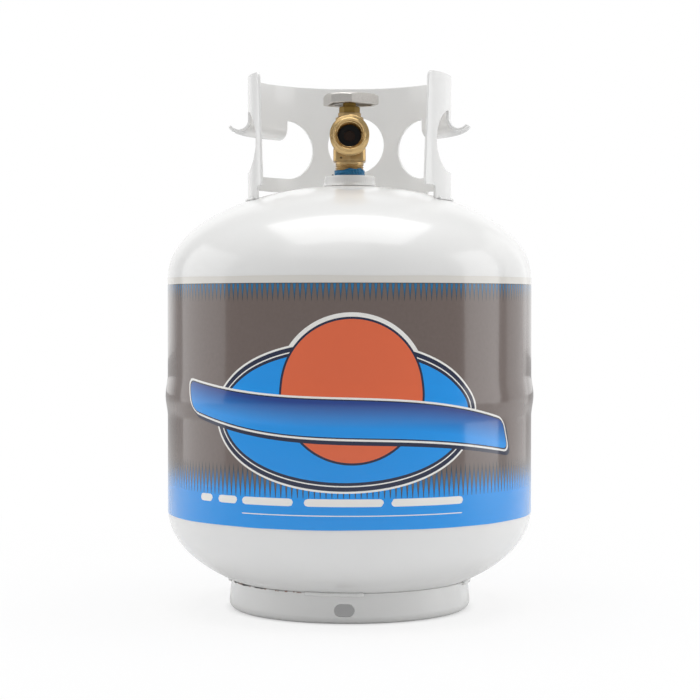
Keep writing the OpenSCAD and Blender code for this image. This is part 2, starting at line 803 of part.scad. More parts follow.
// The screw that holds the wheel on the stem
module wheel_screw() {
    head_z = recess_z + washer_t + 2 * touch;
    head_h = 1.6;
    color("silver") difference() {
        union() {
            translate([0, 0, head_z]) cylinder(r = 3.2, h = head_h);
            translate([0, 0, recess_z - 8]) cylinder(r = screw_r, h = head_z - recess_z + 8 + 0.5);
        }
        translate([-4, -0.4, head_z + head_h / 2]) cube([8, 0.8, head_h]);
    }
}

// The washer under the wheel's screw
module wheel_washer() {
    color("silver") ring(screw_r + fit, 4.6, recess_z + touch, recess_z + touch + washer_t);
}

// The poppet of the relief valve, shut at rest
module relief_poppet() {
    cup_y = relief_room_from + 2 * touch + relief_seal_t;
    color("goldenrod") {
        backwards(relief_room_r - loose, cup_y, cup_y + relief_cup_t, relief_z);
        backwards(2, cup_y + relief_cup_t - over, relief_guide_y, relief_z);
    }
}

// The soft seal on the relief poppet
module relief_seal() {
    color("black") backwards(4.5, relief_room_from + touch,
        relief_room_from + touch + relief_seal_t, relief_z);
}

// The spring that holds the relief poppet shut
module relief_spring() {
    color("silver") translate([0, relief_spring_y, relief_z]) rotate([-90, 0, 0])
        coil(4.6, 0.6, relief_plug_y - touch - relief_spring_y, 5);
}

// The hollow plug that holds the relief spring
module relief_retainer() {
    color("goldenrod") difference() {
        backwards(relief_room_r - fit, relief_plug_y, relief_plug_y + relief_plug_t, relief_z);
        backwards(3.2, relief_plug_y - over, relief_plug_y + relief_plug_t + over, relief_z);
    }
}

// The black seal inside the outlet
module outlet_seal() {
    color("black") difference() {
        forwards(seal_d / 2, seal_from + touch, seal_from + seal_len, outlet_z);
        forwards(check_d / 2 + loose, seal_from - over, seal_from + seal_len + over, outlet_z);
    }
}

// The poppet that keeps the outlet shut until something is connected
module check_poppet() {
    flange_from = seal_from - touch - check_flange_t;
    color("goldenrod") {
        forwards(check_d / 2, flange_from, seal_from + seal_len - 0.5, outlet_z);
        forwards(check_flange_r, flange_from, flange_from + check_flange_t, outlet_z);
        forwards(1.6, check_room_from + 0.5, flange_from + over, outlet_z);
    }
}

// The spring behind the outlet's poppet
module check_spring() {
    from = check_room_from + 1 + retainer_t + touch;
    to = seal_from - 2 * touch - check_flange_t;
    color("silver") translate([0, -from, outlet_z]) rotate([90, 0, 0])
        coil(4.4, 0.35, to - from, 3);
}

// The pierced plate that guides the outlet's poppet
module check_retainer() {
    from = check_room_from + 1;
    color("goldenrod") difference() {
        forwards(check_room_r - fit, from, from + retainer_t, outlet_z);
        forwards(1.6 + run, from - over, from + retainer_t + over, outlet_z);
        for (i = [0:3]) translate([0, 0, outlet_z]) rotate([0, 45 + 90 * i, 0])
            forwards(1, from - over, from + retainer_t + over, 4.4 - 0.2);
    }
}

// The slotted screw that opens the bleed passage
module bleed_screw() {
    tip_r = 1.3;
    shoulder_y = -2;
    head_y = block_w / 2 + 0.1;
    head_t = 2.6;
    color("goldenrod") difference() {
        union() {
            backwards(tip_r, bleed_seat_y + touch, shoulder_y + over, bleed_z, bleed_x);
            backwards(bleed_r - 0.01, shoulder_y, head_y + over, bleed_z, bleed_x);
            backwards(2.7, head_y, head_y + head_t, bleed_z, bleed_x);
        }
        translate([bleed_x - 4, head_y + head_t - 1, bleed_z - 0.4]) cube([8, 2, 0.8]);
        translate([bleed_x, bleed_ring_y - 0.4, bleed_z]) rotate([-90, 0, 0])
            ring(bleed_r - 0.75, bleed_r + over, 0, 0.8);
    }
}

// The rubber ring on the bleed screw
module bleed_ring() {
    color("black") translate([bleed_x, bleed_ring_y, bleed_z]) rotate([90, 0, 0])
        rotate_extrude() translate([bleed_r - 0.37, 0]) circle(0.34, $fn = 24);
}

// The thin tube whose end marks the highest liquid level
module dip_tube() {
    color("goldenrod") translate([bleed_x, dip_y, shank_z + dip_socket - touch - dip_len])
        difference() {
            cylinder(r = dip_r, h = dip_len);
            translate([0, 0, -over]) cylinder(r = 0.9, h = dip_len + 2 * over);
        }
}

// The housing of the overfill stop, with two cheeks for the arm's pin
module opd_housing() {
    guide_t = 2;
    cheek_x = arm_t / 2 + 0.35;
    top = shank_z + opd_spigot_len;
    color("gainsboro") difference() {
        union() {
            translate([0, 0, opd_low_z]) cylinder(r = opd_r, h = shank_z - touch - opd_low_z);
            translate([0, 0, opd_low_z]) cylinder(r = opd_spigot_r, h = top - opd_low_z);
            for (m = [0, 1]) mirror([m, 0, 0]) {
                translate([cheek_x, pivot_y - 3, pivot_z])
                    cube([cheek_t, 6, opd_low_z - pivot_z + over]);
                translate([cheek_x, pivot_y, pivot_z]) rotate([0, 90, 0])
                    cylinder(r = 3, h = cheek_t);
            }
        }
        translate([0, 0, opd_low_z + guide_t])
            cylinder(r = opd_room_r, h = opd_seat_z - opd_low_z - guide_t);
        translate([0, 0, opd_seat_z - over]) cylinder(r = 3.2, h = top - 2 - opd_seat_z + over);
        translate([0, 0, top - 3]) cylinder(r = 2, h = 3 + over);
        translate([0, 0, opd_low_z - over]) cylinder(r = opd_stem_r + run, h = guide_t + 2 * over);
        translate([-opd_d, 0, opd_low_z + 7]) rotate([0, 90, 0]) cylinder(r = 3, h = 2 * opd_d);
        translate([-opd_d, pivot_y, pivot_z]) rotate([0, 90, 0])
            cylinder(r = pin_r + fit, h = 2 * opd_d);
    }
}

// The plunger that the arm lifts to stop filling
module opd_plunger() {
    plug_top = opd_seat_z - opd_plug_gap;
    stem_low = pivot_z + finger_half + loose;
    color("white") {
        translate([0, 0, plug_top - opd_plug_t]) cylinder(r = opd_room_r - loose, h = opd_plug_t);
        translate([0, 0, stem_low]) cylinder(r = opd_stem_r, h = plug_top - stem_low - over);
    }
}

// The light spring above the plunger
module opd_spring() {
    from = opd_seat_z - opd_plug_gap + touch;
    to = shank_z + opd_spigot_len - 3 + over - touch;
    color("silver") translate([0, 0, from]) coil(2.5, 0.3, to - from, 5);
}

// The pin that the arm turns on
module arm_pin() {
    color("silver") translate([-pin_len / 2, pivot_y, pivot_z]) rotate([0, 90, 0])
        cylinder(r = pin_r, h = pin_len);
}

// Places its children along the hanging arm, which points down from the pivot
module along_arm() {
    translate([0, pivot_y, pivot_z]) rotate([arm_lean, 0, 0]) children();
}

// The arm between the float and the plunger
module float_arm() {
    end = arm_len - 8;
    color("silver") difference() {
        union() {
            along_arm() translate([-arm_t / 2, -arm_w / 2, -end]) cube([arm_t, arm_w, end]);
            translate([-arm_t / 2, pivot_y, pivot_z]) rotate([0, 90, 0])
                cylinder(r = hub_r, h = arm_t);
            translate([-arm_t / 2, pivot_y, pivot_z - finger_half])
                cube([arm_t, finger_len, 2 * finger_half]);
        }
        translate([-arm_t, pivot_y, pivot_z]) rotate([0, 90, 0])
            cylinder(r = pin_r + run, h = 2 * arm_t);
    }
}

// The float, with a slot for the arm
module float() {
    slot_len = float_len - 8 + touch;
    color("dimgray") along_arm() difference() {
        translate([0, 0, -arm_len]) cylinder(d = float_d, h = float_len);
        translate([-arm_t / 2 - fit, -arm_w / 2 - fit, -arm_len + float_len - slot_len])
            cube([arm_t + 2 * fit, arm_w + 2 * fit, slot_len + over]);
    }
}

upper_half();
lower_half();
girth_weld();
neck_boss();
neck_weld();
collar();
collar_welds();
foot_ring();
foot_ring_welds();
sleeve();
valve_body();
thread_sealant();
bonnet();
stem();
stem_o_rings();
stem_washer();
spindle();
seat_disc();
handwheel();
wheel_screw();
wheel_washer();
relief_poppet();
relief_seal();
relief_spring();
relief_retainer();
outlet_seal();
check_poppet();
check_spring();
check_retainer();
bleed_screw();
bleed_ring();
dip_tube();
opd_housing();
opd_plunger();
opd_spring();
arm_pin();
float_arm();
float();
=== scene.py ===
"""A white enamelled gas cylinder with a printed film sleeve, a rolled collar and a brass valve."""
import json
import math

import bpy
import numpy as np
from bpy.props import FloatProperty, FloatVectorProperty, IntProperty, PointerProperty
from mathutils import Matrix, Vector


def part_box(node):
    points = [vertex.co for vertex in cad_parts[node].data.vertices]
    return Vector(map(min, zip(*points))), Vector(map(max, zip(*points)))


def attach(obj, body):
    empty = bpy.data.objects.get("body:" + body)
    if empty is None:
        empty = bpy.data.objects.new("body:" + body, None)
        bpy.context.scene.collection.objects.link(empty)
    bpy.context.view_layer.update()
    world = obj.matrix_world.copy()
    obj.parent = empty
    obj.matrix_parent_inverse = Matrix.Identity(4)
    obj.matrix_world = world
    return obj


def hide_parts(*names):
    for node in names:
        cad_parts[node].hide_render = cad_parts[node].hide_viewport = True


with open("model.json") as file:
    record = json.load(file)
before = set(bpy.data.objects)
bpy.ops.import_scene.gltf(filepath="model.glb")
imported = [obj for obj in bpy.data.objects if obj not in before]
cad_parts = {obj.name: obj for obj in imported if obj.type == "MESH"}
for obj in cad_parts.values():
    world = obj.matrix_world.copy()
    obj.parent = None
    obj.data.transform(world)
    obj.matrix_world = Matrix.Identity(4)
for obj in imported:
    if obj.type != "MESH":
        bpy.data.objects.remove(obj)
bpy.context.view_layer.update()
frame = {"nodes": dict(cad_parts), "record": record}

bl_info = {
    "name": "Gas Cylinder",
    "version": (1, 0, 0),
    "blender": (4, 5, 0),
    "location": "View3D > Sidebar > Cylinder",
    "description": "Builds the finished look of a gas cylinder around its fixed frame",
    "category": "Object",
}

MM = 0.001
TAU = 2 * math.pi


# ---------------------------------------------------------------- measures of the frame
def low(node):
    """Lowest corner of a frame node, in millimetres."""
    return Vector(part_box(node)[0]) / MM


def high(node):
    """Highest corner of a frame node, in millimetres."""
    return Vector(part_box(node)[1]) / MM


# How far a piece stays clear of the surface that it sits on
CLEAR = 0.05

# The steel body, from the frame
BODY_R = high("upper_half").x
DOME_TOP = high("upper_half").z
BELLY_Z = low("lower_half").z
DOME_H = 77.0
HIGH_Z = DOME_TOP - DOME_H
LOW_Z = BELLY_Z + DOME_H


def top_z(r):
    """Height of the upper dome's steel at a radius."""
    return HIGH_Z + DOME_H * np.sqrt(np.maximum(0, 1 - (r / BODY_R) ** 2))


def under_z(r):
    """Height of the lower dome's steel at a radius."""
    return LOW_Z - DOME_H * np.sqrt(np.maximum(0, 1 - (r / BODY_R) ** 2))


# ---------------------------------------------------------------- colours and nodes
def linear(code):
    """An sRGB hex colour as linear red, green, blue."""
    parts = [int(code[i:i + 2], 16) / 255 for i in (1, 3, 5)]
    return tuple(c / 12.92 if c <= 0.04045 else ((c + 0.055) / 1.055) ** 2.4 for c in parts)


def rgba(colour):
    """A colour property or tuple with full alpha."""
    return (*tuple(colour)[:3], 1.0)


def add(tree, kind, links=None, **settings):
    """Adds a node, sets its settings, and fills or links its sockets."""
    node = tree.nodes.new(kind)
    for key, value in settings.items():
        setattr(node, key, value)
    for socket, value in (links or {}).items():
        target = node.inputs[socket]
        if isinstance(value, bpy.types.NodeSocket):
            tree.links.new(value, target)
        else:
            target.default_value = value
    return node


def shader_of(name, **values):
    """A new material with its own shader sockets set, its node tree and its shader."""
    mat = bpy.data.materials.new(name)
    mat.use_nodes = True
    tree = mat.node_tree
    shader = tree.nodes["Principled BSDF"]
    for socket, value in values.items():
        shader.inputs[socket.replace("_", " ")].default_value = value
    return mat, tree, shader


# ---------------------------------------------------------------- properties
def colour_prop(name, description, code):
    """A colour property whose default is an sRGB hex colour."""
    return FloatVectorProperty(name=name, description=description, subtype="COLOR",
                               size=3, min=0.0, max=1.0, default=linear(code))


def length_prop(name, description, millimetres):
    """A length property whose default is in millimetres."""
    return FloatProperty(name=name, description=description, default=millimetres * MM,
                         min=0.0, precision=4, subtype="DISTANCE", unit="LENGTH")


class EnamelLook(bpy.types.PropertyGroup):
    """Sprayed white enamel on the steel pieces."""
    white: colour_prop("White", "Colour of the enamel", "#ECECEB")
    peel_size: length_prop("Peel size", "Width of the orange-peel lumps", 3.0)
    edge_round: length_prop("Edge round", "Rounding of a sheared edge under the paint", 0.4)
    sheet: length_prop("Collar sheet", "Thickness of the collar's sheet", 2.2)
    rust: colour_prop("Rust", "Rust at the open seam above the foot ring", "#8A4A2A")


class FilmLook(bpy.types.PropertyGroup):
    """Printed film that is shrunk around the body."""
    field: colour_prop("Field", "Grey-brown of the printed field", "#6D605B")
    blue: colour_prop("Blue", "Blue of the lower band", "#0096EE")
    deep_blue: colour_prop("Spike blue", "Blue at the foot of the upper spikes", "#1B6FA2")
    royal: colour_prop("Royal blue", "Dark side of the ribbon", "#153F8E")
    tip: colour_prop("Spike tip", "Dark colour at the tips of the spikes", "#35424C")
    margin: colour_prop("Margin", "Unprinted film above the print", "#DEDBD5")
    navy: colour_prop("Navy", "Dark ring of the badge", "#16203F")
    orange: colour_prop("Orange", "Centre of the badge", "#E4683F")
    paper: colour_prop("White print", "White lines of the badge and stripes", "#F1F0EC")
    spikes: IntProperty(name="Spikes", description="Number of spikes around the film",
                        default=213, min=40)


class MetalLook(bpy.types.PropertyGroup):
    """Metals of the valve."""
    brass: colour_prop("Brass", "Colour of the forged brass", "#C0A374")
    turned: colour_prop("Turned brass", "Colour of bright machined brass", "#CFB17E")
    dull_brass: colour_prop("Dull brass", "Colour of tarnished brass", "#A08347")
    # Painted shade: the dark brown of the poppet deep in the outlet's bore and of the inside of the
    # vent hole
    dark_brass: colour_prop("Dark brass", "Colour of the stained brass in the bore", "#3E2C24")
    zinc: colour_prop("Zinc", "Colour of the die-cast wheel", "#CFCCC8")
    steel: colour_prop("Steel", "Colour of plated steel", "#B9B8B4")
    sealant: colour_prop("Sealant", "Blue of the thread sealant", "#1C76A6")


class StudioLook(bpy.types.PropertyGroup):
    """Camera and light of the stage."""
    lens: FloatProperty(name="Lens", description="Focal length of the camera, mm",
                        default=98.7, min=20.0)
    distance: FloatProperty(name="Distance", description="From the camera to the axis",
                            default=1.647, unit="LENGTH")
    height: FloatProperty(name="Height", description="Height of the camera",
                          default=0.2557, unit="LENGTH")
    tilt: FloatProperty(name="Tilt", description="Downward tilt of the camera",
                        default=math.radians(1.254), subtype="ANGLE")
    front: FloatProperty(name="Front of room", default=0.46, min=0.0,
                         description="Level of the room's light from the camera's side")
    back: FloatProperty(name="Back of room", default=1.0, min=0.0,
                        description="Level of the room's light from behind the object")


def look():
    """The scene's groups of sizes and colours."""
    return bpy.context.scene.cylinder_look


class CylinderLook(bpy.types.PropertyGroup):
    """All sizes and colours of the cylinder's looks."""
    enamel: PointerProperty(type=EnamelLook)
    film: PointerProperty(type=FilmLook)
    metal: PointerProperty(type=MetalLook)
    studio: PointerProperty(type=StudioLook)


# ---------------------------------------------------------------- solids from distance fields
def edge(a, b, r):
    """Where two fields overlap, with the edge between them rounded to a radius."""
    return (np.hypot(np.maximum(a + r, 0), np.maximum(b + r, 0))
            + np.minimum(np.maximum(a, b) + r, 0) - r)


def join(a, b, r):
    """Two fields together, with a fillet of a radius between them."""
    return -edge(-a, -b, r)


def cut(a, b, r=0.2):
    """The first field less the second, with the new edge rounded."""
    return edge(a, -b, r)


def rod(p, axis, r, start, end, across=(0, 0), round_r=0.3):
    """A cylinder along an axis. r may be an array. across is its place in the other two axes."""
    along = p[axis]
    one, two = [p[i] for i in range(3) if i != axis]
    radial = np.hypot(one - across[0], two - across[1]) - r
    return edge(radial, np.abs(along - (start + end) / 2) - abs(end - start) / 2, round_r)


def box(p, lo, hi, round_r=0.5):
    """A box between two corners with rounded edges."""
    side = [np.abs(p[a] - (lo[a] + hi[a]) / 2) - (hi[a] - lo[a]) / 2 for a in range(3)]
    return edge(edge(side[0], side[1], round_r), side[2], round_r)


def flat(p, angle, distance):
    """Half space inside an upright plane, facing an angle from the front towards the right."""
    a = math.radians(angle)
    return p[0] * math.sin(a) - p[1] * math.cos(a) - distance


def around(p):
    """Angle from the front towards the right, in radians, and distance from the axis."""
    return np.arctan2(p[0], -p[1]), np.hypot(p[0], p[1])


def lumps(p, size, seed):
    """A smooth uneven field between about -1 and 1 with lumps of a size."""
    rng = np.random.default_rng(seed)
    total = 0
    waves = 7
    for _ in range(waves):
        way = rng.normal(size=3)
        way *= TAU / size / np.linalg.norm(way) * rng.uniform(0.7, 1.5)
        total = total + np.sin(p[0] * way[0] + p[1] * way[1] + p[2] * way[2]
                               + rng.uniform(0, TAU))
    return total / math.sqrt(waves)


def nets(values, origin, cell):
    """Vertices and quads of a field's surface on a regular grid."""
    n = np.array(values.shape)
    inside = values < 0
    cells = n - 1
    offsets = [(i, j, k) for i in (0, 1) for j in (0, 1) for k in (0, 1)]
    count = sum(inside[i:i + cells[0], j:j + cells[1], k:k + cells[2]].astype(np.int8)
                for i, j, k in offsets)
    mixed = (count > 0) & (count < 8)
    index = np.full(cells, -1, np.int64)
    base = np.argwhere(mixed)
    index[mixed] = np.arange(len(base))
    corner = {o: values[base[:, 0] + o[0], base[:, 1] + o[1], base[:, 2] + o[2]] for o in offsets}
    total = np.zeros((len(base), 3))
    hits = np.zeros(len(base))
    for o in offsets:
        for axis in range(3):
            if o[axis]:
                continue
            q = tuple(o[a] + (a == axis) for a in range(3))
            cross = (corner[o] < 0) != (corner[q] < 0)
            t = np.where(cross, corner[o] / np.where(cross, corner[o] - corner[q], 1), 0)
            for a in range(3):
                total[:, a] += np.where(cross, o[a] + (t if a == axis else 0), 0)
            hits += cross
    verts = (base + total / hits[:, None]) * cell + origin
    quads = []
    for axis in range(3):
        b, c = [a for a in range(3) if a != axis]
        first = np.take(inside, range(0, n[axis] - 1), axis)
        second = np.take(inside, range(1, n[axis]), axis)
        pair = np.argwhere(first != second)
        keep = (pair[:, b] > 0) & (pair[:, c] > 0) & (pair[:, b] < cells[b]) & (pair[:, c] < cells[c])
        pair = pair[keep]
        ring = []
        for db, dc in ((-1, -1), (0, -1), (0, 0), (-1, 0)):
            cell_at = pair.copy()
            cell_at[:, b] += db
            cell_at[:, c] += dc
            ring.append(index[cell_at[:, 0], cell_at[:, 1], cell_at[:, 2]])
        ring = np.stack(ring, 1)
        flip = inside[pair[:, 0], pair[:, 1], pair[:, 2]]
        if axis == 1:
            flip = ~flip
        ring[~flip] = ring[~flip][:, ::-1]
        quads.append(ring)
    return verts, np.concatenate(quads)


def slope(field, v, step):
    """Gradient of a field at points."""
    g = np.empty_like(v)
    for axis in range(3):
        nudge = np.zeros(3)
        nudge[axis] = step
        g[:, axis] = field((v + nudge).T) - field((v - nudge).T)
    return g / (2 * step)


def sampled(field, axes, cell, block=5):
    """A field's values on a grid, worked out finely only where its surface may be."""
    shape = [len(a) for a in axes]
    coarse_axes = [a[0] + (np.arange(-(-len(a) // block)) * block + block / 2 - 0.5) * cell
                   for a in axes]
    coarse = field(np.meshgrid(*coarse_axes, indexing="ij"))
    full = coarse
    for axis in range(3):
        full = np.repeat(full, block, axis)
    full = full[:shape[0], :shape[1], :shape[2]].astype(np.float32)
    near = np.argwhere(np.abs(full) < block * cell * 1.6)
    points = np.stack([axes[a][near[:, a]] for a in range(3)])
    full[near[:, 0], near[:, 1], near[:, 2]] = field(points)
    return full


def solid(name, field, lo, hi, cell, material, body, *nodes):
    """A piece whose surface is where a field of distances in millimetres is nought."""
    axes = [np.arange(lo[a] - 1.5 * cell, hi[a] + 2.5 * cell, cell) for a in range(3)]
    verts, quads = nets(sampled(field, axes, cell), np.array([a[0] for a in axes]), cell)
    for _ in range(3):
        g = slope(field, verts, cell * 0.2)
        size = np.maximum((g * g).sum(1), 0.05)
        move = np.clip(field(verts.T) / size, -0.6 * cell, 0.6 * cell)
        verts = verts - g * move[:, None]
    normals = slope(field, verts, cell * 0.35)
    normals /= np.maximum(np.linalg.norm(normals, axis=1), 1e-6)[:, None]
    return mesh_piece(name, verts, quads, material, body, nodes, normals)


def mesh_piece(name, verts, faces, material, body, nodes, normals=None):
    """Makes a smooth mesh from points in millimetres, rides it on its body and hides the frame nodes
    that it takes the place of.
    """
    mesh = bpy.data.meshes.new(name)
    mesh.from_pydata((verts * MM).tolist(), [], faces.tolist())
    mesh.validate()
    mesh.update()
    mesh.shade_smooth()
    if normals is None:
        mesh.set_sharp_from_angle(angle=math.radians(40))
    else:
        mesh.normals_split_custom_set_from_vertices(normals.tolist())
    mesh.materials.append(MATERIALS[material])
    obj = bpy.data.objects.new(name, mesh)
    bpy.context.scene.collection.objects.link(obj)
    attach(obj, body)
    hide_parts(*nodes)
    return obj


def turned(name, profile, material, body, *nodes, round_steps=192, shape=None):
    """A piece turned about the upright axis from a closed profile of radius and height."""
    rows = len(profile)
    a = np.arange(round_steps) * TAU / round_steps
    r = np.array([q[0] for q in profile])[:, None] * np.ones(round_steps)
    z = np.array([q[1] for q in profile])[:, None] * np.ones(round_steps)
    if shape:
        r, z = shape(r, z, a[None, :] * np.ones((rows, 1)))
    verts = np.stack([r * np.sin(a), -r * np.cos(a), z], -1).reshape(-1, 3)
    i, j = np.meshgrid(np.arange(rows), np.arange(round_steps), indexing="ij")
    i2, j2 = (i + 1) % rows, (j + 1) % round_steps
    corners = ((i, j), (i, j2), (i2, j2), (i2, j))
    faces = np.stack([row * round_steps + step for row, step in corners], -1)
    return mesh_piece(name, verts, faces.reshape(-1, 4), material, body, nodes)


# ---------------------------------------------------------------- materials
MATERIALS = {}
# The record's slot that each material finishes
SLOTS = {
    "enamel": "white_paint", "rusty": "white_paint", "film": "printed_film",
    "brass": "forged_brass", "turned": "turned_brass", "dull": "turned_brass",
    "dark": "turned_brass", "zinc": "die_cast_metal", "steel": "plated_steel",
    "spring": "spring_steel", "rubber": "black_rubber", "nylon": "white_nylon",
    "sealant": "blue_sealant", "foam": "float_foam",
}


def enamel(name="white_gloss_enamel", rust_band=None):
    """Gloss enamel sprayed on steel: white, shiny, with a faint orange peel."""
    e = look().enamel
    mat, tree, shader = shader_of(name, Roughness=0.22, IOR=1.5, Coat_Weight=0.4,
                                  Coat_Roughness=0.06)
    place = add(tree, "ShaderNodeTexCoord").outputs["Object"]
    # Thickness of the coat varies over a few centimetres
    drift = add(tree, "ShaderNodeTexNoise", {"Vector": place, "Scale": 28.0, "Detail": 2.0})
    tone = add(tree, "ShaderNodeMix", {"Factor": drift.outputs["Fac"],
                                       "A": rgba([c * 0.975 for c in e.white]),
                                       "B": rgba(e.white)}, data_type="RGBA").outputs["Result"]
    if rust_band:
        # Rust creeps out of the open seam in small specks
        xyz = add(tree, "ShaderNodeSeparateXYZ", {0: place}).outputs
        near = add(tree, "ShaderNodeMapRange", {"Value": xyz["Z"], "From Min": rust_band[0] * MM,
                                                "From Max": rust_band[1] * MM}).outputs[0]
        side = add(tree, "ShaderNodeMapRange", {"Value": xyz["X"], "From Min": -0.032,
                                                "From Max": -0.045}).outputs[0]
        speck = add(tree, "ShaderNodeTexNoise", {"Vector": place, "Scale": 160.0,
                                                 "Detail": 4.0}).outputs["Fac"]
        spot = add(tree, "ShaderNodeMapRange", {"Value": speck, "From Min": 0.52,
                                                "From Max": 0.58}).outputs[0]
        mask = add(tree, "ShaderNodeMath", {0: near, 1: side}, operation="MULTIPLY").outputs[0]
        mask = add(tree, "ShaderNodeMath", {0: mask, 1: spot}, operation="MULTIPLY").outputs[0]
        tone = add(tree, "ShaderNodeMix", {"Factor": mask, "A": tone, "B": rgba(e.rust)},
                   data_type="RGBA").outputs["Result"]
    tree.links.new(tone, shader.inputs["Base Color"])
    peel = add(tree, "ShaderNodeTexNoise", {"Vector": place, "Scale": 1 / e.peel_size,
                                            "Detail": 1.0})
    bump = add(tree, "ShaderNodeBump", {"Height": peel.outputs["Fac"], "Strength": 0.06,
                                        "Distance": 0.0004})
    tree.links.new(bump.outputs["Normal"], shader.inputs["Normal"])
    return mat


# Heights of the print's bands, in millimetres below the film's top edge
MARGIN_DROP, SPIKE_DROP, SPIKE_RISE, BAND_DROP = 6.1, 20.9, 148.3, 174.3


def printed_film():
    """Clear glossy film over a print of flat colours."""
    f = look().film
    mat, tree, shader = shader_of("printed_shrink_film", Roughness=0.16, IOR=1.5,
                                  Coat_Weight=0.4, Coat_Roughness=0.04)
    place = add(tree, "ShaderNodeTexCoord").outputs["Object"]
    xyz = add(tree, "ShaderNodeSeparateXYZ", {0: place}).outputs
    top = high("sleeve").z
    z = add(tree, "ShaderNodeMath", {0: xyz["Z"], 1: 1 / MM}, operation="MULTIPLY").outputs[0]
    drop = add(tree, "ShaderNodeMath", {0: top, 1: z}, operation="SUBTRACT").outputs[0]
    # The printed field has a faint mottle, where the ink lies unevenly
    grain = add(tree, "ShaderNodeTexNoise", {"Vector": place, "Scale": 350.0, "Detail": 2.0})
    colour = add(tree, "ShaderNodeMix", {"Factor": grain.outputs["Fac"],
                                         "A": rgba([c * 0.92 for c in f.field]),
                                         "B": rgba([c * 1.08 for c in f.field])},
                 data_type="RGBA").outputs["Result"]
    # Rows of spikes point in from the margin and up from the blue band
    turn = add(tree, "ShaderNodeMath", {0: xyz["X"], 1: xyz["Y"]}, operation="ARCTAN2")
    phase = add(tree, "ShaderNodeMath", {0: turn.outputs[0], 1: f.spikes / TAU},
                operation="MULTIPLY")
    wave = add(tree, "ShaderNodeMath", {0: phase.outputs[0], 1: 0.5}, operation="PINGPONG")
    layers = []
    for tip_drop, root_drop, widest, ink in ((SPIKE_DROP, MARGIN_DROP, 0.25, f.deep_blue),
                                             (SPIKE_RISE, BAND_DROP, 0.45, f.blue)):
        share = add(tree, "ShaderNodeMapRange", {"Value": drop, "From Min": tip_drop,
                                                 "From Max": root_drop}).outputs[0]
        faded = add(tree, "ShaderNodeMapRange", {"Value": share, "From Min": 0.2,
                                                 "From Max": 0.8}).outputs[0]
        shaded = add(tree, "ShaderNodeMix", {"Factor": faded, "A": rgba(f.tip), "B": rgba(ink)},
                     data_type="RGBA").outputs["Result"]
        # A dark edge runs along each spike
        for width, tone in ((widest * 1.3, rgba(f.tip)), (widest, shaded)):
            inside = add(tree, "ShaderNodeMath", {0: share, 1: -width, 2: wave.outputs[0]},
                         operation="MULTIPLY_ADD").outputs[0]
            layers.append((inside, 0.0, tone))
    layers.append((z, top - BAND_DROP, rgba(f.blue)))
    layers.append((drop, MARGIN_DROP + 0.3, rgba(f.tip)))
    layers.append((drop, MARGIN_DROP - 0.3, rgba(f.margin)))
    # The badge, its ribbon and the stripes, from the outside inwards
    rise = add(tree, "ShaderNodeAttribute", attribute_name="ribbon_rise").outputs["Fac"]
    faded = add(tree, "ShaderNodeMapRange", {"Value": rise, "From Min": 0.25, "From Max": 0.9})
    ribbon_ink = add(tree, "ShaderNodeMix", {"Factor": faded.outputs[0], "A": rgba(f.blue),
                                             "B": rgba(f.royal)},
                     data_type="RGBA").outputs["Result"]
    shapes = (("disc", 3.4, rgba(f.paper)), ("badge", 0.0, rgba(f.paper)),
              ("badge", -1.6, rgba(f.navy)), ("badge", -5.0, rgba(f.paper)),
              ("badge", -6.0, rgba(f.navy)), ("badge", -8.4, rgba(f.blue)),
              ("disc", 0.0, rgba(f.navy)), ("disc", -1.8, rgba(f.orange)),
              ("ribbon_shadow", 3.2, rgba(f.navy)), ("ribbon", 2.6, rgba(f.paper)),
              ("ribbon", 1.0, rgba(f.navy)), ("ribbon", 0.0, ribbon_ink),
              ("stripes", 0.0, rgba(f.paper)))
    for name, limit, ink in shapes:
        distance = add(tree, "ShaderNodeAttribute", attribute_name=name).outputs["Fac"]
        layers.append((distance, limit, ink))
    for value, limit, ink in layers:
        inside = add(tree, "ShaderNodeMath", {0: value, 1: limit}, operation="LESS_THAN")
        colour = add(tree, "ShaderNodeMix", {"Factor": inside.outputs[0], "A": colour, "B": ink},
                     data_type="RGBA").outputs["Result"]
    tree.links.new(colour, shader.inputs["Base Color"])
    ripple = add(tree, "ShaderNodeTexNoise", {"Vector": place, "Scale": 45.0, "Detail": 1.0})
    bump = add(tree, "ShaderNodeBump", {"Height": ripple.outputs["Fac"], "Strength": 0.15,
                                        "Distance": 0.0006})
    tree.links.new(bump.outputs["Normal"], shader.inputs["Normal"])
    return mat


def plain(name, colour, grain_mm, bump_mm, **values):
    """A surface of one colour with a grain in its tone and height."""
    mat, tree, shader = shader_of(name, **values)
    place = add(tree, "ShaderNodeTexCoord").outputs["Object"]
    grain = add(tree, "ShaderNodeTexNoise", {"Vector": place, "Scale": 1 / (grain_mm * MM),
                                             "Detail": 3.0})
    tone = add(tree, "ShaderNodeMix", {"Factor": grain.outputs["Fac"],
                                       "A": rgba([c * 0.85 for c in colour]),
                                       "B": rgba([min(1, c * 1.12) for c in colour])},
               data_type="RGBA")
    tree.links.new(tone.outputs["Result"], shader.inputs["Base Color"])
    bump = add(tree, "ShaderNodeBump", {"Height": grain.outputs["Fac"], "Strength": 0.5,
                                        "Distance": bump_mm * MM})
    tree.links.new(bump.outputs["Normal"], shader.inputs["Normal"])
    return mat


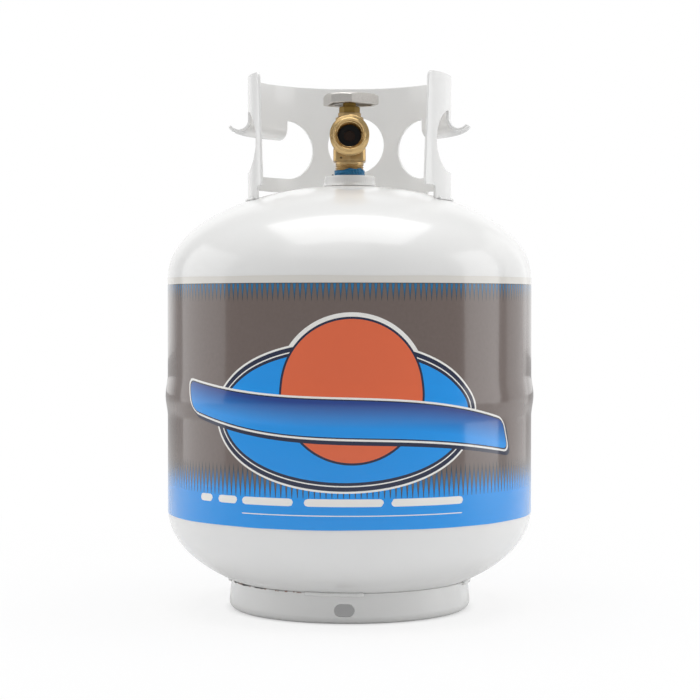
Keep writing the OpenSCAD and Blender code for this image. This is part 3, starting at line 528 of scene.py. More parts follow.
def make_materials():
    """Makes every material once."""
    m = look().metal
    MATERIALS["enamel"] = enamel()
    seam = under_z(high("foot_ring").x)
    MATERIALS["rusty"] = enamel("enamel_with_rusty_seam", (seam - 2.2, seam - 1.2))
    # Pressed hot and shot clean: a warm satin skin with slow lumps
    MATERIALS["brass"] = plain("forged_brass", m.brass, 4.0, 0.05, Metallic=1.0, Roughness=0.3)
    # Cut on a lathe: brighter, with fine tool marks
    MATERIALS["turned"] = plain("turned_brass", m.turned, 2.0, 0.01, Metallic=1.0,
                                Roughness=0.2)
    # Painted shade: a dark brown brass, showing hardly any metal, for the poppet deep in the bore and
    # the inside of the vent hole
    MATERIALS["dark"] = plain("painted_shade_brass", m.dark_brass, 1.5, 0.03, Metallic=0.4,
                              Roughness=0.5)
    # Handled brass that has gone olive
    MATERIALS["dull"] = plain("tarnished_brass", m.dull_brass, 3.0, 0.05, Metallic=1.0,
                              Roughness=0.4)
    # Tumbled after casting: pale grey with a soft sheen and small pits
    MATERIALS["zinc"] = plain("die_cast_zinc", m.zinc, 1.2, 0.06, Metallic=1.0, Roughness=0.45)
    # Zinc-plated steel: cooler and smoother than the casting
    MATERIALS["steel"] = plain("plated_steel", m.steel, 2.0, 0.02, Metallic=1.0, Roughness=0.3)
    MATERIALS["spring"] = plain("spring_steel_wire", m.steel, 2.0, 0.02, Metallic=1.0,
                                Roughness=0.35)
    # Black rubber with a dull moulded skin
    MATERIALS["rubber"] = plain("black_nitrile_rubber", linear("#17171A"), 1.0, 0.03,
                                Roughness=0.55)
    # Off-white plastic as it comes from the mould
    MATERIALS["nylon"] = plain("white_nylon", linear("#E4E2DA"), 1.0, 0.02, Roughness=0.4)
    # Dried paste, matt and lumpy
    MATERIALS["sealant"] = plain("blue_thread_sealant", m.sealant, 1.6, 0.2, Roughness=0.5)
    # Closed-cell foam, which shows no shine
    MATERIALS["foam"] = plain("float_foam", linear("#4A4A4C"), 1.0, 0.1, Roughness=0.8)
    MATERIALS["film"] = printed_film()


# Nodes whose finish differs from their slot's first material
# The check poppet gets the dark brass, which is painted shade deep in the bore
NODE_MATERIALS = {"check_poppet": "dark"}


def dress_frame():
    """Gives every frame node the first material of its slot."""
    slots = {part["node"]: part["material_slot"] for part in frame["record"]["subparts"]}
    firsts = {slot: material for material, slot in reversed(SLOTS.items())}
    for node, obj in frame["nodes"].items():
        key = NODE_MATERIALS.get(node) or firsts.get(slots.get(node), "enamel")
        for slot in obj.material_slots:
            slot.link = "OBJECT"
            slot.material = MATERIALS[key]


# ---------------------------------------------------------------- domes
# Wall of the steel, the hole for the boss, and the height of the step and of the lap that goes
# inside the upper half, below and above the seam
WALL, BOSS_HOLE_R = 2.1, 17.3
STEP, LAP = 6.0, 12.0


def dome(inset, base, sign, start_r, steps=44):
    """Points of a dome's curve from its rim to a radius, inset into the steel."""
    last = math.acos(start_r / (BODY_R - inset))
    return [((BODY_R - inset) * math.cos(last * i / steps),
             base + sign * (DOME_H - inset) * math.sin(last * i / steps))
            for i in range(steps + 1)]


def build_domes():
    """The two pressed halves of the body."""
    seam = (HIGH_Z + LOW_Z) / 2
    upper = [(BODY_R, seam)] + dome(0, HIGH_Z, 1, BOSS_HOLE_R)
    upper += dome(WALL, HIGH_Z, 1, BOSS_HOLE_R)[::-1] + [(BODY_R - WALL, seam)]
    turned("upper_shell", upper[::-1], "enamel", "tank", "upper_half", round_steps=256)
    lap_r, step_z, lap_z = BODY_R - WALL - CLEAR, seam - STEP, seam + LAP
    lower = dome(0, LOW_Z, -1, 0.01)[::-1]
    lower += [(BODY_R, step_z), (lap_r, seam), (lap_r, lap_z), (lap_r - WALL, lap_z),
              (lap_r - WALL, seam), (BODY_R - WALL, step_z)]
    lower += dome(WALL, LOW_Z, -1, 0.01)
    turned("lower_shell", lower[::-1], "enamel", "tank", "lower_half", round_steps=256)


# ---------------------------------------------------------------- collar
# Turn of the collar, and its cut-outs, as angles from the front in degrees
COLLAR_TURN = 4.0
POST_TOP, POST_LOW, FOOT_FRONT = 53.2, 49.8, 59.3
POST_LOW_Z = DOME_TOP - 1.9
# How much further round the left post's front edge stands
LEFT_POST_BACK = 3.9
# The gaps between the feet, with the height of their upper edge
SIDE_GAP, REAR_GAP = (106.0, 131.0), 168.0
GAP_Z = DOME_TOP - 1.8
# The long hand holes and the round hole at the back
HAND_A, HAND_Z, HAND_R = (78.0, 136.0), DOME_TOP + 36.3, 25.65
REAR_HOLE_Z, REAR_HOLE_R = DOME_TOP + 42.0, 25.0
# The curled grips: radius, sweep of the curl in degrees, and drop below the hand hole's top
GRIP_R, GRIP_SWEEP, GRIP_DROP = 9.2, 145.0, 6.3


def collar_field(p):
    """The collar's rolled sheet with its holes, gaps and curled grips."""
    sheet = look().enamel.sheet / MM
    soft = look().enamel.edge_round / MM
    c, s = math.cos(math.radians(COLLAR_TURN)), math.sin(math.radians(COLLAR_TURN))
    z = p[2]
    a, r = around((p[0] * c - p[1] * s, p[0] * s + p[1] * c))
    set_back = np.where(a < 0, LEFT_POST_BACK, 0.0)
    a = np.degrees(np.abs(a))
    outer = high("collar").y
    top = high("collar").z
    mid = outer - sheet / 2
    per_degree = TAU / 360 * outer

    def past(angle):
        return (angle - a) * per_degree

    # The outline, seen square on
    lean = (POST_TOP - POST_LOW) / (top - POST_LOW_Z)
    post = past(POST_LOW + set_back + lean * (z - POST_LOW_Z))
    post = edge(post, POST_LOW_Z - z, 3.0)
    front = join(post, past(FOOT_FRONT), 3.0)
    outline = edge(front, z - top, 4.5)
    outline = edge(outline, top_z(r) + CLEAR - z, 0.3)
    gap = edge(edge(past(SIDE_GAP[0]), -past(SIDE_GAP[1]), 0.5), z - GAP_Z, 3.0)
    rear = edge(past(REAR_GAP), z - GAP_Z, 3.0)
    outline = cut(cut(outline, gap, 1.0), rear, 1.0)
    beyond = np.radians(np.clip(np.maximum(HAND_A[0] - a, a - HAND_A[1]), 0, 60))
    hand = np.hypot(r * np.sin(beyond), z - HAND_Z) - HAND_R
    back = np.hypot(r * np.sin(np.radians(np.clip(180 - a, 0, 80))),
                    z - REAR_HOLE_Z) - REAR_HOLE_R
    outline = np.maximum(outline, -np.minimum(hand, back))
    wall = edge(np.abs(r - mid) - sheet / 2, outline, soft)

    # The grip that curls outwards from the top of each hand hole
    start_z = HAND_Z + HAND_R - GRIP_DROP
    centre = mid + GRIP_R
    turn = np.degrees(np.arctan2(z - start_z, r - centre)) - 180
    turn = (turn + 107.5) % 360 - 107.5
    beyond_end = (turn - GRIP_SWEEP) * GRIP_R * TAU / 360
    curl = np.abs(np.hypot(r - centre, z - start_z) - GRIP_R) - sheet / 2
    curl = np.maximum(curl, -turn * GRIP_R * TAU / 360 - 0.3)
    drop = np.maximum(np.abs(r - mid) - sheet / 2, np.abs(z - start_z - 4) - 4.2)
    ends = edge(edge(past(HAND_A[0] + 0.5), beyond_end, 1.0), -past(HAND_A[1] - 0.5), 4.0)
    lip = edge(np.minimum(curl, drop), ends, soft)
    return np.minimum(wall, lip)


def build_collar():
    """The collar and the welds at its feet."""
    lo, hi = low("collar"), high("collar")
    solid("collar_sheet", collar_field, lo, hi, 0.62, "enamel", "tank", "collar")

    def welds(p):
        c, s = math.cos(math.radians(COLLAR_TURN)), math.sin(math.radians(COLLAR_TURN))
        a, r = around((p[0] * c - p[1] * s, p[0] * s + p[1] * c))
        outer = high("collar").y
        d = None
        for first, last in ((FOOT_FRONT + 4, SIDE_GAP[0] - 4), (SIDE_GAP[1] + 4, REAR_GAP - 4)):
            mid, half = math.radians((first + last) / 2), math.radians((last - first) / 2)
            over = np.maximum(np.abs(np.abs(a) - mid) - half, 0) * outer
            size = 1.4 + 0.05 * np.sin(np.abs(a) * outer * TAU / 1.9) + 0.15 * lumps(p, 9, 5)
            bead = np.sqrt((r - outer - 0.7) ** 2 + (p[2] - top_z(outer) - 0.5) ** 2
                           + over ** 2) - size
            d = bead if d is None else np.minimum(d, bead)
        d = np.maximum(d, outer + CLEAR - r)
        return np.maximum(d, top_z(r) + CLEAR - p[2])

    lo, hi = low("collar_welds"), high("collar_welds")
    solid("collar_weld_beads", welds, lo, hi, 0.7, "enamel", "tank", "collar_welds")


# ---------------------------------------------------------------- neck boss
def boss_field(p):
    """The forged boss and the weld that joins it to the dome."""
    a, r = around(p)
    z = p[2]
    boss_r, boss_top = high("neck_boss").x, high("neck_boss").z
    foot = low("neck_boss").z
    upper = edge(r - boss_r, z - boss_top, 1.3)
    upper = np.maximum(upper, DOME_TOP + CLEAR - z)
    spigot = edge(r - 17.0, foot - z, 0.3)
    spigot = np.maximum(spigot, z - DOME_TOP - 2)
    # The weld is a smooth concave fillet with faint ripples
    ripple = 0.05 * np.sin(a * boss_r * TAU / 2.1) + 0.12 * lumps(p, 12, 3)
    fillet = join(r - boss_r, z - top_z(r) - CLEAR, 4.6) - ripple
    fillet = edge(fillet, r - high("neck_weld").x, 0.5)
    fillet = np.maximum(np.maximum(fillet, top_z(r) + CLEAR - z), boss_r - 3 - r)
    fillet = np.maximum(fillet, z - high("neck_weld").z - 3)
    d = join(np.minimum(upper, fillet), spigot, 0.3)
    return cut(d, edge(r - 13.0, np.abs(z - boss_top) - 30, 0.1), 0.8)


def build_boss():
    """The neck boss with its weld."""
    lo, hi = low("neck_weld"), high("neck_boss")
    lo.z = low("neck_boss").z
    hi.x = hi.y = high("neck_weld").x
    solid("boss_and_weld", boss_field, lo, hi, 0.7, "enamel", "tank",
          "neck_boss", "neck_weld")


# ---------------------------------------------------------------- foot ring
# Radius of the curled edge, width of the rim inside it, sheet, and taper towards the top
CURL, RIM, FOOT_SHEET, TAPER = 6.0, 8.0, 2.5, 1.6
# The hole's place across and upwards, half its straight part, and the radius of its ends
FOOT_HOLE = (-4.3, 11.3, 3.0, 5.0)
# Angle of the front stitch weld from the front, and half its length in degrees
STITCH_TURN, STITCH_HALF = -7.0, 13.0
# Where the seam above the foot ring stands open, in degrees from the front
OPEN_SEAM = (-92.0, -21.0)


def seam_gap(a):
    """Opening between the foot ring and the body at an angle."""
    d = np.degrees(a)
    ends = np.clip((d - OPEN_SEAM[0]) / 8, 0, 1) * np.clip((OPEN_SEAM[1] - d) / 8, 0, 1)
    wide = 0.45 + 0.5 * np.clip(-(d + 55) / 30, -1, 1)
    uneven = wide * (0.75 + 0.9 * np.sin(d * 0.5) + 0.6 * np.sin(d * 1.13 + 2))
    return 0.05 + ends * np.clip(uneven, 0.0, 1.1)


def foot_field(p):
    """The foot ring with its curled bottom edge and its hole."""
    a, r = around(p)
    x, y, z = p
    outer = high("foot_ring").x
    half = FOOT_SHEET / 2
    top_r = outer - TAPER
    taper = (outer - top_r) / (under_z(top_r) - CURL)
    wall = np.abs(r - (outer - taper * (z - CURL) - half)) - half
    curl = np.abs(np.hypot(r - outer + CURL, z - CURL) - CURL + half) - half
    rim = np.abs(z - half) - half
    d = np.where(z >= CURL, wall, np.where(r >= outer - CURL, curl, rim))
    d = edge(d, outer - CURL - RIM - r, 0.8)
    d = edge(d, z - under_z(r) + seam_gap(a), 0.5)
    hx, hz, half_w, hole_r = FOOT_HOLE
    hole = np.hypot(np.maximum(np.abs(x - hx) - half_w, 0), z - hz) - hole_r
    return cut(d, np.where(y < 0, hole, 50.0), 0.7)


def stitch_field(p):
    """The stitch welds between the foot ring and the body."""
    a, r = around(p)
    z = p[2]
    outer = high("foot_ring").x
    ring_r = outer - TAPER
    seat = under_z(ring_r)
    step = math.pi / 2
    turn = (a - math.radians(STITCH_TURN) + step / 2) % step - step / 2
    over = np.maximum(np.abs(turn) * ring_r - math.radians(STITCH_HALF) * ring_r, 0)
    size = 1.8 + 0.06 * np.sin(a * ring_r * TAU / 2.0) + 0.2 * lumps(p, 11, 8)
    bead = np.sqrt((r - ring_r - 0.9) ** 2 + (z - seat + 1.1) ** 2 + over ** 2) - size
    bead = np.maximum(bead, z - under_z(r) + CLEAR)
    taper = TAPER / (seat - CURL)
    return np.maximum(bead, outer - taper * (z - CURL) + CLEAR - r)


def build_foot():
    """The foot ring and its stitch welds."""
    lo, hi = low("foot_ring"), high("foot_ring")
    solid("foot_ring_sheet", foot_field, lo, hi, 0.9, "rusty", "tank", "foot_ring")
    lo, hi = low("foot_ring_welds"), high("foot_ring_welds")
    solid("foot_stitch_welds", stitch_field, lo, hi, 0.6, "enamel", "tank",
          "foot_ring_welds")


# ---------------------------------------------------------------- film sleeve
# Places of the print's shapes: along the film from its front, then above the floor. The last
# value of the disc is its radius, and the ribbon's slope and bow bend it.
BADGE = {"middle": (-4.0, 171.0), "half": (113.0, 60.0), "disc": (2.0, 191.0, 58.0)}
RIBBON = {"middle": (-1.0, 169.0), "half": (148.0, 14.5), "slope": -0.11, "bow": 4.0}
# Start and end of each bar of the stripe
BARS = ((-137, -122), (-115, -95), (-90, -45), (-36, 27), (33, 96))


def print_shapes(u, z):
    """Distances from the print's shapes, along the film and upwards in millimetres."""
    def bar(start, end, middle, half):
        return edge(np.abs(u - (start + end) / 2) - (end - start) / 2,
                    np.abs(z - middle) - half, half * 0.9)

    def ribbon(across, rise):
        along = u - RIBBON["middle"][0] - across
        centre = (RIBBON["middle"][1] + rise + RIBBON["slope"] * along
                  + RIBBON["bow"] * np.sin(along / RIBBON["half"][0] * math.pi))
        half = RIBBON["half"][1] * (1 - 0.25 * (along / RIBBON["half"][0]) ** 2)
        tilt = along + 0.35 * (z - centre)
        return edge(np.abs(tilt) - RIBBON["half"][0], np.abs(z - centre) - half, 5.0), z - centre

    (bu, bz), (bw, bh) = BADGE["middle"], BADGE["half"]
    du, dz = u - bu, z - bz
    k0 = np.sqrt((du / bw) ** 2 + (dz / bh) ** 2) + 1e-6
    k1 = np.sqrt((du / bw ** 2) ** 2 + (dz / bh ** 2) ** 2) + 1e-6
    disc_u, disc_z, disc_r = BADGE["disc"]
    front, rise = ribbon(0, 0)
    stripes = bar(-92, 96, 92.8, 1.0)
    for start, end in BARS:
        stripes = np.minimum(stripes, bar(start, end, 103.6, 3.0))
    return {"badge": k0 * (k0 - 1) / k1, "disc": np.hypot(u - disc_u, z - disc_z) - disc_r,
            "ribbon": front, "ribbon_shadow": ribbon(2.2, -2.6)[0],
            "ribbon_rise": 0.5 + rise / (2 * RIBBON["half"][1]), "stripes": stripes}


def build_film():
    """The film, which bulges over the weld and shrinks unevenly at its edges."""
    inner = BODY_R + CLEAR
    bottom, top = low("sleeve").z, high("sleeve").z
    # The bulge over the weld: its height, how far it spreads, and how far it stands out
    middle, spread = DOME_TOP - 178.5, 18.0
    thick = 0.3
    stand = high("sleeve").x - inner - thick - CLEAR
    heights = np.concatenate([np.linspace(bottom, bottom + 6, 7),
                              np.linspace(bottom + 9, top - 8, 74),
                              np.linspace(top - 6, top, 8)])

    def tent(z):
        return stand * (1 + np.cos(np.pi * np.clip((z - middle) / spread, -1, 1))) / 2

    outside = [(inner + thick + tent(z), z) for z in heights]
    inside = [(inner + tent(z), z) for z in heights[::-1]]

    def shrink(r, z, a):
        lift = np.minimum(z - bottom, top - z)
        near = np.exp(-lift / 4.0)
        wave = 0.5 + 0.5 * np.sin(a * 23 + 1.3 * np.sin(a * 5)) * np.sin(a * 7 + 0.8)
        level = 0.25 * np.sin(a * 3 + 1) + 0.12 * np.sin(a * 11)
        drop = np.where(z > middle, -np.abs(level), np.abs(level)) * near
        return r + near * wave * 0.12 * (1 - 0.5 * near), z + drop

    film = turned("film_sleeve", outside + inside, "film", "tank", "sleeve",
                  round_steps=360, shape=shrink)
    points = np.empty(len(film.data.vertices) * 3)
    film.data.vertices.foreach_get("co", points)
    x, y, z = points.reshape(-1, 3).T / MM
    for name, values in print_shapes(np.arctan2(x, -y) * (inner + thick), z).items():
        film.data.attributes.new(name, "FLOAT", "POINT").data.foreach_set("value", values)


# ---------------------------------------------------------------- valve
# Height of the outlet's axis, and the outlet's outer thread and the finer thread in its bore
OUTLET_Z = high("neck_boss").z + 32.7
THREAD_PITCH, THREAD_DEPTH = 5.08, 2.2
BORE_PITCH = 1.81


def thread(along, turn, pitch):
    """Height of a thread's flat-topped form from 0 to 1, along and around its axis."""
    phase = (along / pitch - turn / TAU) % 1.0
    return np.clip((0.5 - np.abs(phase - 0.5)) * 4.2 - 0.55, 0, 1)


def valve_field(p):
    """The forged valve body, its machined outlet and its chambers."""
    x, y, z = p
    lo, hi = low("valve_body"), high("valve_body")
    shank_z, block_z = lo.z, OUTLET_Z - 20.5
    a, r = around(p)
    shank_r = 12.1 - 0.8 * (1 - thread(z, a, BORE_PITCH)) * np.clip((block_z - 2 - z) / 1.2, 0, 1)
    d = rod(p, 2, shank_r, shank_z, block_z + 3, round_r=0.4)
    body = box(p, (-13.85, -13.85, block_z), (13.85, 13.85, block_z + 11.5), 1.1)
    body = edge(body, r - 17.6, 0.8)
    column = rod(p, 2, 12.0, block_z + 4, OUTLET_Z + 18, round_r=1.6)
    neck = rod(p, 1, 13.5, -20.0, 0.0, (0, OUTLET_Z), 0.3)
    relief = rod(p, 1, 9.5, 0.0, hi.y, (0, OUTLET_Z - 3), 0.8)
    forging = join(join(body, column, 1.5), neck, 3.0)
    forging = join(forging, relief, 2.2)
    # The flash line that the two halves of the forging die leave
    forging = forging - 0.28 * np.exp(-(x / 0.55) ** 2)
    forging = forging + 0.05 * lumps(p, 7, 2)
    d = join(d, forging, 0.6)
    d = join(d, rod(p, 2, 9.85, OUTLET_Z + 15, hi.z, round_r=0.5), 0.6)
    # Coarse outer thread of the outlet, with a plain lead at its mouth
    across = np.hypot(x, z - OUTLET_Z)
    turn = np.arctan2(x, z - OUTLET_Z)
    form = np.maximum(thread(y, turn, THREAD_PITCH), np.clip((y + 19.8) / 0.8, 0, 1))
    # A plain nose, then the flank of the first thread
    lead = 13.6 + np.clip(y - lo.y - 3.2, 0, 9) * 2.2
    outlet_r = np.minimum(16.65 - THREAD_DEPTH * (1 - form), lead)
    outlet = edge(across - outlet_r, np.abs(y - (lo.y - 17.0) / 2) - (-17.0 - lo.y) / 2, 0.9)
    d = join(d, outlet, 0.5)
    # Chambers: outlet
    depth = np.clip((y - lo.y - 1.0) / 16, 0, 1)
    bore_r = 11.15 - 0.9 * depth - 0.8 * thread(y, -turn, BORE_PITCH) * np.clip(depth * 9, 0, 1)
    bore = rod(p, 1, bore_r, -60.0, -24.0, (0, OUTLET_Z), 0.2)
    mouth = (across - 11.2 + (y - lo.y) - 1.5) * 0.7071
    mouth = np.maximum(mouth, y - lo.y - 4)
    cone = np.maximum((across - 9.4 + (y + 21.0) * 0.62) * 0.85, np.abs(y + 22.5) - 1.6)
    pocket = rod(p, 1, 9.4, -24.0, -18.0, (0, OUTLET_Z), 0.1)
    room = rod(p, 1, 6.5, -19.0, -8.0, (0, OUTLET_Z), 0.2)
    port = rod(p, 1, 4.0, -9.0, 0.0, (0, OUTLET_Z), 0.2)
    for hollow in (bore, mouth, cone, pocket, room, port):
        d = cut(d, hollow, 0.15)
    # Main bore, seat chamber and the bonnet's thread
    d = cut(d, rod(p, 2, 4.0, shank_z - 9, OUTLET_Z - 10, round_r=0.1), 0.2)
    d = cut(d, rod(p, 2, 3.0, OUTLET_Z - 12, OUTLET_Z - 6, round_r=0.1), 0.1)
    d = cut(d, rod(p, 2, 6.0, OUTLET_Z - 7, hi.z + 9, round_r=0.1), 0.1)
    d = cut(d, rod(p, 2, 7.05, hi.z - 6.4, hi.z + 9, round_r=0.1), 0.3)
    # Relief passage and chamber
    d = cut(d, rod(p, 2, 1.5, shank_z - 9, OUTLET_Z - 3, (0, 8.6), 0.1), 0.1)
    d = cut(d, rod(p, 1, 2.5, 7.1, 13.0, (0, OUTLET_Z - 3), 0.1), 0.1)
    d = cut(d, rod(p, 1, 7.0, 12.0, hi.y + 9, (0, OUTLET_Z - 3), 0.1), 0.6)
    # Bleed passage with its vent in front and its screw behind, and the tube's socket
    bleed = (-7.2, block_z + 2.8)
    d = cut(d, rod(p, 1, 0.95, -20.0, -7.0, bleed, 0.1), 0.2)
    d = cut(d, rod(p, 1, 2.0, -7.5, 20.0, bleed, 0.1), 0.3)
    d = cut(d, rod(p, 2, 1.55, shank_z - 9, shank_z + 6, (-7.2, -4.5), 0.1), 0.1)
    d = cut(d, rod(p, 2, 1.0, shank_z, bleed[1], (-7.2, -4.5), 0.1), 0.1)
    return cut(d, rod(p, 2, 5.2, shank_z - 9, shank_z + 6.05, round_r=0.1), 0.1)


def bonnet_field(p):
    """The hexagonal bonnet nut, with its upper corners chamfered."""
    lo, hi = low("bonnet"), high("bonnet")
    seat = high("valve_body").z
    _, r = around(p)
    z = p[2]
    half = (hi.y - lo.y) / 2
    hex_top = hi.z - 3.0
    nut = edge(edge(flat(p, 0, half), flat(p, 60, half), 0.35), flat(p, 120, half), 0.35)
    for angle in (180, 240, 300):
        nut = edge(nut, flat(p, angle, half), 0.35)
    nut = edge(nut, (r - 8.7 + (z - hex_top + 0.7) * 1.7) * 0.5, 0.15)
    nut = edge(nut, np.abs(z - (seat + hex_top) / 2) - (hex_top - seat) / 2, 0.3)
    nut = join(nut, rod(p, 2, 5.7, seat, hi.z, round_r=0.4), 0.5)
    d = np.minimum(nut, rod(p, 2, 6.95, lo.z, seat + 1, round_r=0.2))
    d = cut(d, rod(p, 2, 5.3, lo.z - 5, seat + 2.1, round_r=0.1), 0.1)
    return cut(d, rod(p, 2, 4.26, lo.z - 5, hi.z + 5, round_r=0.1), 0.3)


# Angle of a long side of the wheel from the front, and half the angle that it covers
WHEEL_TURN, WHEEL_SIDE = 41.5, 38.5


def wheel_field(p):
    """The die-cast wheel: a triangle with its corners cut off, hollow underneath."""
    lo, hi = low("handwheel"), high("handwheel")
    corner_r = 25.5
    _, r = around(p)
    z = p[2]
    long_d = corner_r * math.cos(math.radians(WHEEL_SIDE))
    short_d = corner_r * math.cos(math.radians(60 - WHEEL_SIDE))
    shape = None
    for i in range(3):
        for angle, distance in ((WHEEL_TURN + 120 * i, long_d),
                                (WHEEL_TURN + 60 + 120 * i, short_d)):
            side = flat(p, angle, distance)
            shape = side if shape is None else edge(shape, side, 1.2)
    chamfer = ((r - 25.8) * 2 + (z - hi.z + 2) * 4.3) / 4.74
    d = edge(edge(shape, np.abs(z - (lo.z + hi.z) / 2) - (hi.z - lo.z) / 2, 0.7), chamfer, 1.0)
    ceiling = hi.z - 4.5
    hollow = edge(shape + 3.3, z - ceiling, 1.0)
    ribs = None
    for i in range(3):
        b = math.radians(WHEEL_TURN + 60 + 120 * i)
        along = p[0] * math.sin(b) - p[1] * math.cos(b)
        rib = np.maximum(np.abs(p[0] * math.cos(b) + p[1] * math.sin(b)) - 1.0, -along)
        ribs = rib if ribs is None else np.minimum(ribs, rib)
    ribs = np.maximum(ribs, lo.z + 1.6 - z)
    d = cut(d, cut(hollow, ribs, 0.5), 0.6)
    stem_z = high("stem").z
    hub = np.maximum(r - 6.5, np.abs(z - (lo.z + 4.05 + ceiling) / 2) - (ceiling - lo.z - 4.05) / 2)
    d = join(d, np.maximum(hub, lo.z + 4.05 - z), 0.8)
    # Dished top with a round recess for the screw, and the square that the stem drives
    dish = np.hypot(r, z - hi.z - 60) - 60.9
    d = cut(d, dish, 0.8)
    d = cut(d, rod(p, 2, 5.2, hi.z - 2.4, hi.z + 5, round_r=0.2), 0.5)
    square = edge(np.abs(p[0]) - 2.55, np.abs(p[1]) - 2.55, 0.2)
    d = cut(d, np.maximum(square, z - stem_z - 5), 0.2)
    return d + 0.05 * lumps(p, 5, 4)


def sealant_field(p):
    """The sealant: a smeared ring that follows the shank's thread, and one stray drop."""
    lo, hi = low("thread_sealant"), high("thread_sealant")
    a, r = around(p)
    z = p[2]
    boss_top = high("neck_boss").z
    ridge = 0.25 * thread(z, a, BORE_PITCH)
    smear = hi.z - 1.2 + 0.8 * np.sin(a * 2 + 0.6) + 0.45 * np.sin(a * 7 + 2)
    ring = edge(r - 12.75 - 0.2 * lumps(p, 3.5, 6) + ridge - 0.2, z - np.minimum(smear, hi.z), 0.6)
    ring = np.maximum(ring, boss_top + CLEAR - z)
    plug = np.maximum(np.maximum(r - 12.95, z - boss_top - 0.4), lo.z - z)
    d = np.minimum(ring, plug)
    drop = np.sqrt((p[0] + 14.3) ** 2 + (p[1] + 3.5) ** 2 + ((z - boss_top - 0.7) * 1.1) ** 2) - 1.0
    d = join(d, np.maximum(drop, boss_top + CLEAR - z), 0.3)
    return np.maximum(d, 12.15 - r)


def build_valve():
    """The valve body, its bonnet and the sealant."""
    lo, hi = low("valve_body"), high("valve_body")
    body = solid("valve_forging", valve_field, lo, hi, 0.55, "brass", "tank",
                 "valve_body")
    body.data.materials.append(MATERIALS["turned"])
    body.data.materials.append(MATERIALS["dark"])
    # The outlet's collar is machined bright, and the inside of the vent hole gets the dark brass,
    # which is painted shade
    for face in body.data.polygons:
        x, y, z = face.center / MM
        if y < -17.3:
            face.material_index = 1
        elif y < -6 and math.hypot(x + 7.2, z - OUTLET_Z + 17.7) < 1.0:
            face.material_index = 2
    lo, hi = low("bonnet"), high("bonnet")
    solid("bonnet_nut", bonnet_field, lo, hi, 0.4, "dull", "tank", "bonnet")
    lo, hi = low("thread_sealant"), high("thread_sealant")
    lo.x, lo.y = lo.x - 2, lo.y - 2
    ring = solid("smeared_sealant", sealant_field, lo, hi, 0.4, "sealant", "tank",
                 "thread_sealant")
    ring.data.materials.append(MATERIALS["rubber"])
    for face in ring.data.polygons:
        if face.center.x < -13.35 * MM:
            face.material_index = 1


def build_wheel():
    """The handwheel."""
    lo, hi = low("handwheel"), high("handwheel")
    solid("cast_handwheel", wheel_field, lo, hi, 0.5, "zinc", "wheel_and_stem",
          "handwheel")


# ---------------------------------------------------------------- stage
def floor_paper():
    """Matt white background paper that also glows white for the camera: a share of 0.8 beside the
    object keeps a faint shadow, rising to full white far off; inside the foot ring a dim glow is
    painted light in the ring's shade.
    """
    mat, tree, shader = shader_of("matt_paper_with_painted_glow", Roughness=0.9)
    shader.inputs["Base Color"].default_value = rgba(linear("#F7F7F7"))
    place = add(tree, "ShaderNodeTexCoord").outputs["Object"]
    reach = add(tree, "ShaderNodeVectorMath", {0: place}, operation="LENGTH")
    # Inside the foot ring the camera sees a fixed dim glow of 0.26 share: painted light in the shade
    # there
    outside = add(tree, "ShaderNodeMapRange", {"Value": reach.outputs["Value"],
                                               "From Min": 0.094, "From Max": 0.108,
                                               "To Min": 0.26, "To Max": 0.8})
    beyond = add(tree, "ShaderNodeMapRange", {"Value": reach.outputs["Value"], "From Min": 0.1,
                                              "From Max": 0.8,
                                              "To Min": outside.outputs["Result"]},
                 interpolation_type="SMOOTHSTEP")
    path = add(tree, "ShaderNodeLightPath")
    share = add(tree, "ShaderNodeMath", {0: beyond.outputs["Result"],
                                         1: path.outputs["Is Camera Ray"]},
                operation="MULTIPLY")
    glow = add(tree, "ShaderNodeEmission", {"Color": (1, 1, 1, 1), "Strength": 1.0})
    mix = add(tree, "ShaderNodeMixShader", {0: share.outputs[0], 1: shader.outputs[0],
                                            2: glow.outputs[0]})
    tree.links.new(mix.outputs[0], tree.nodes["Material Output"].inputs["Surface"])
    return mat


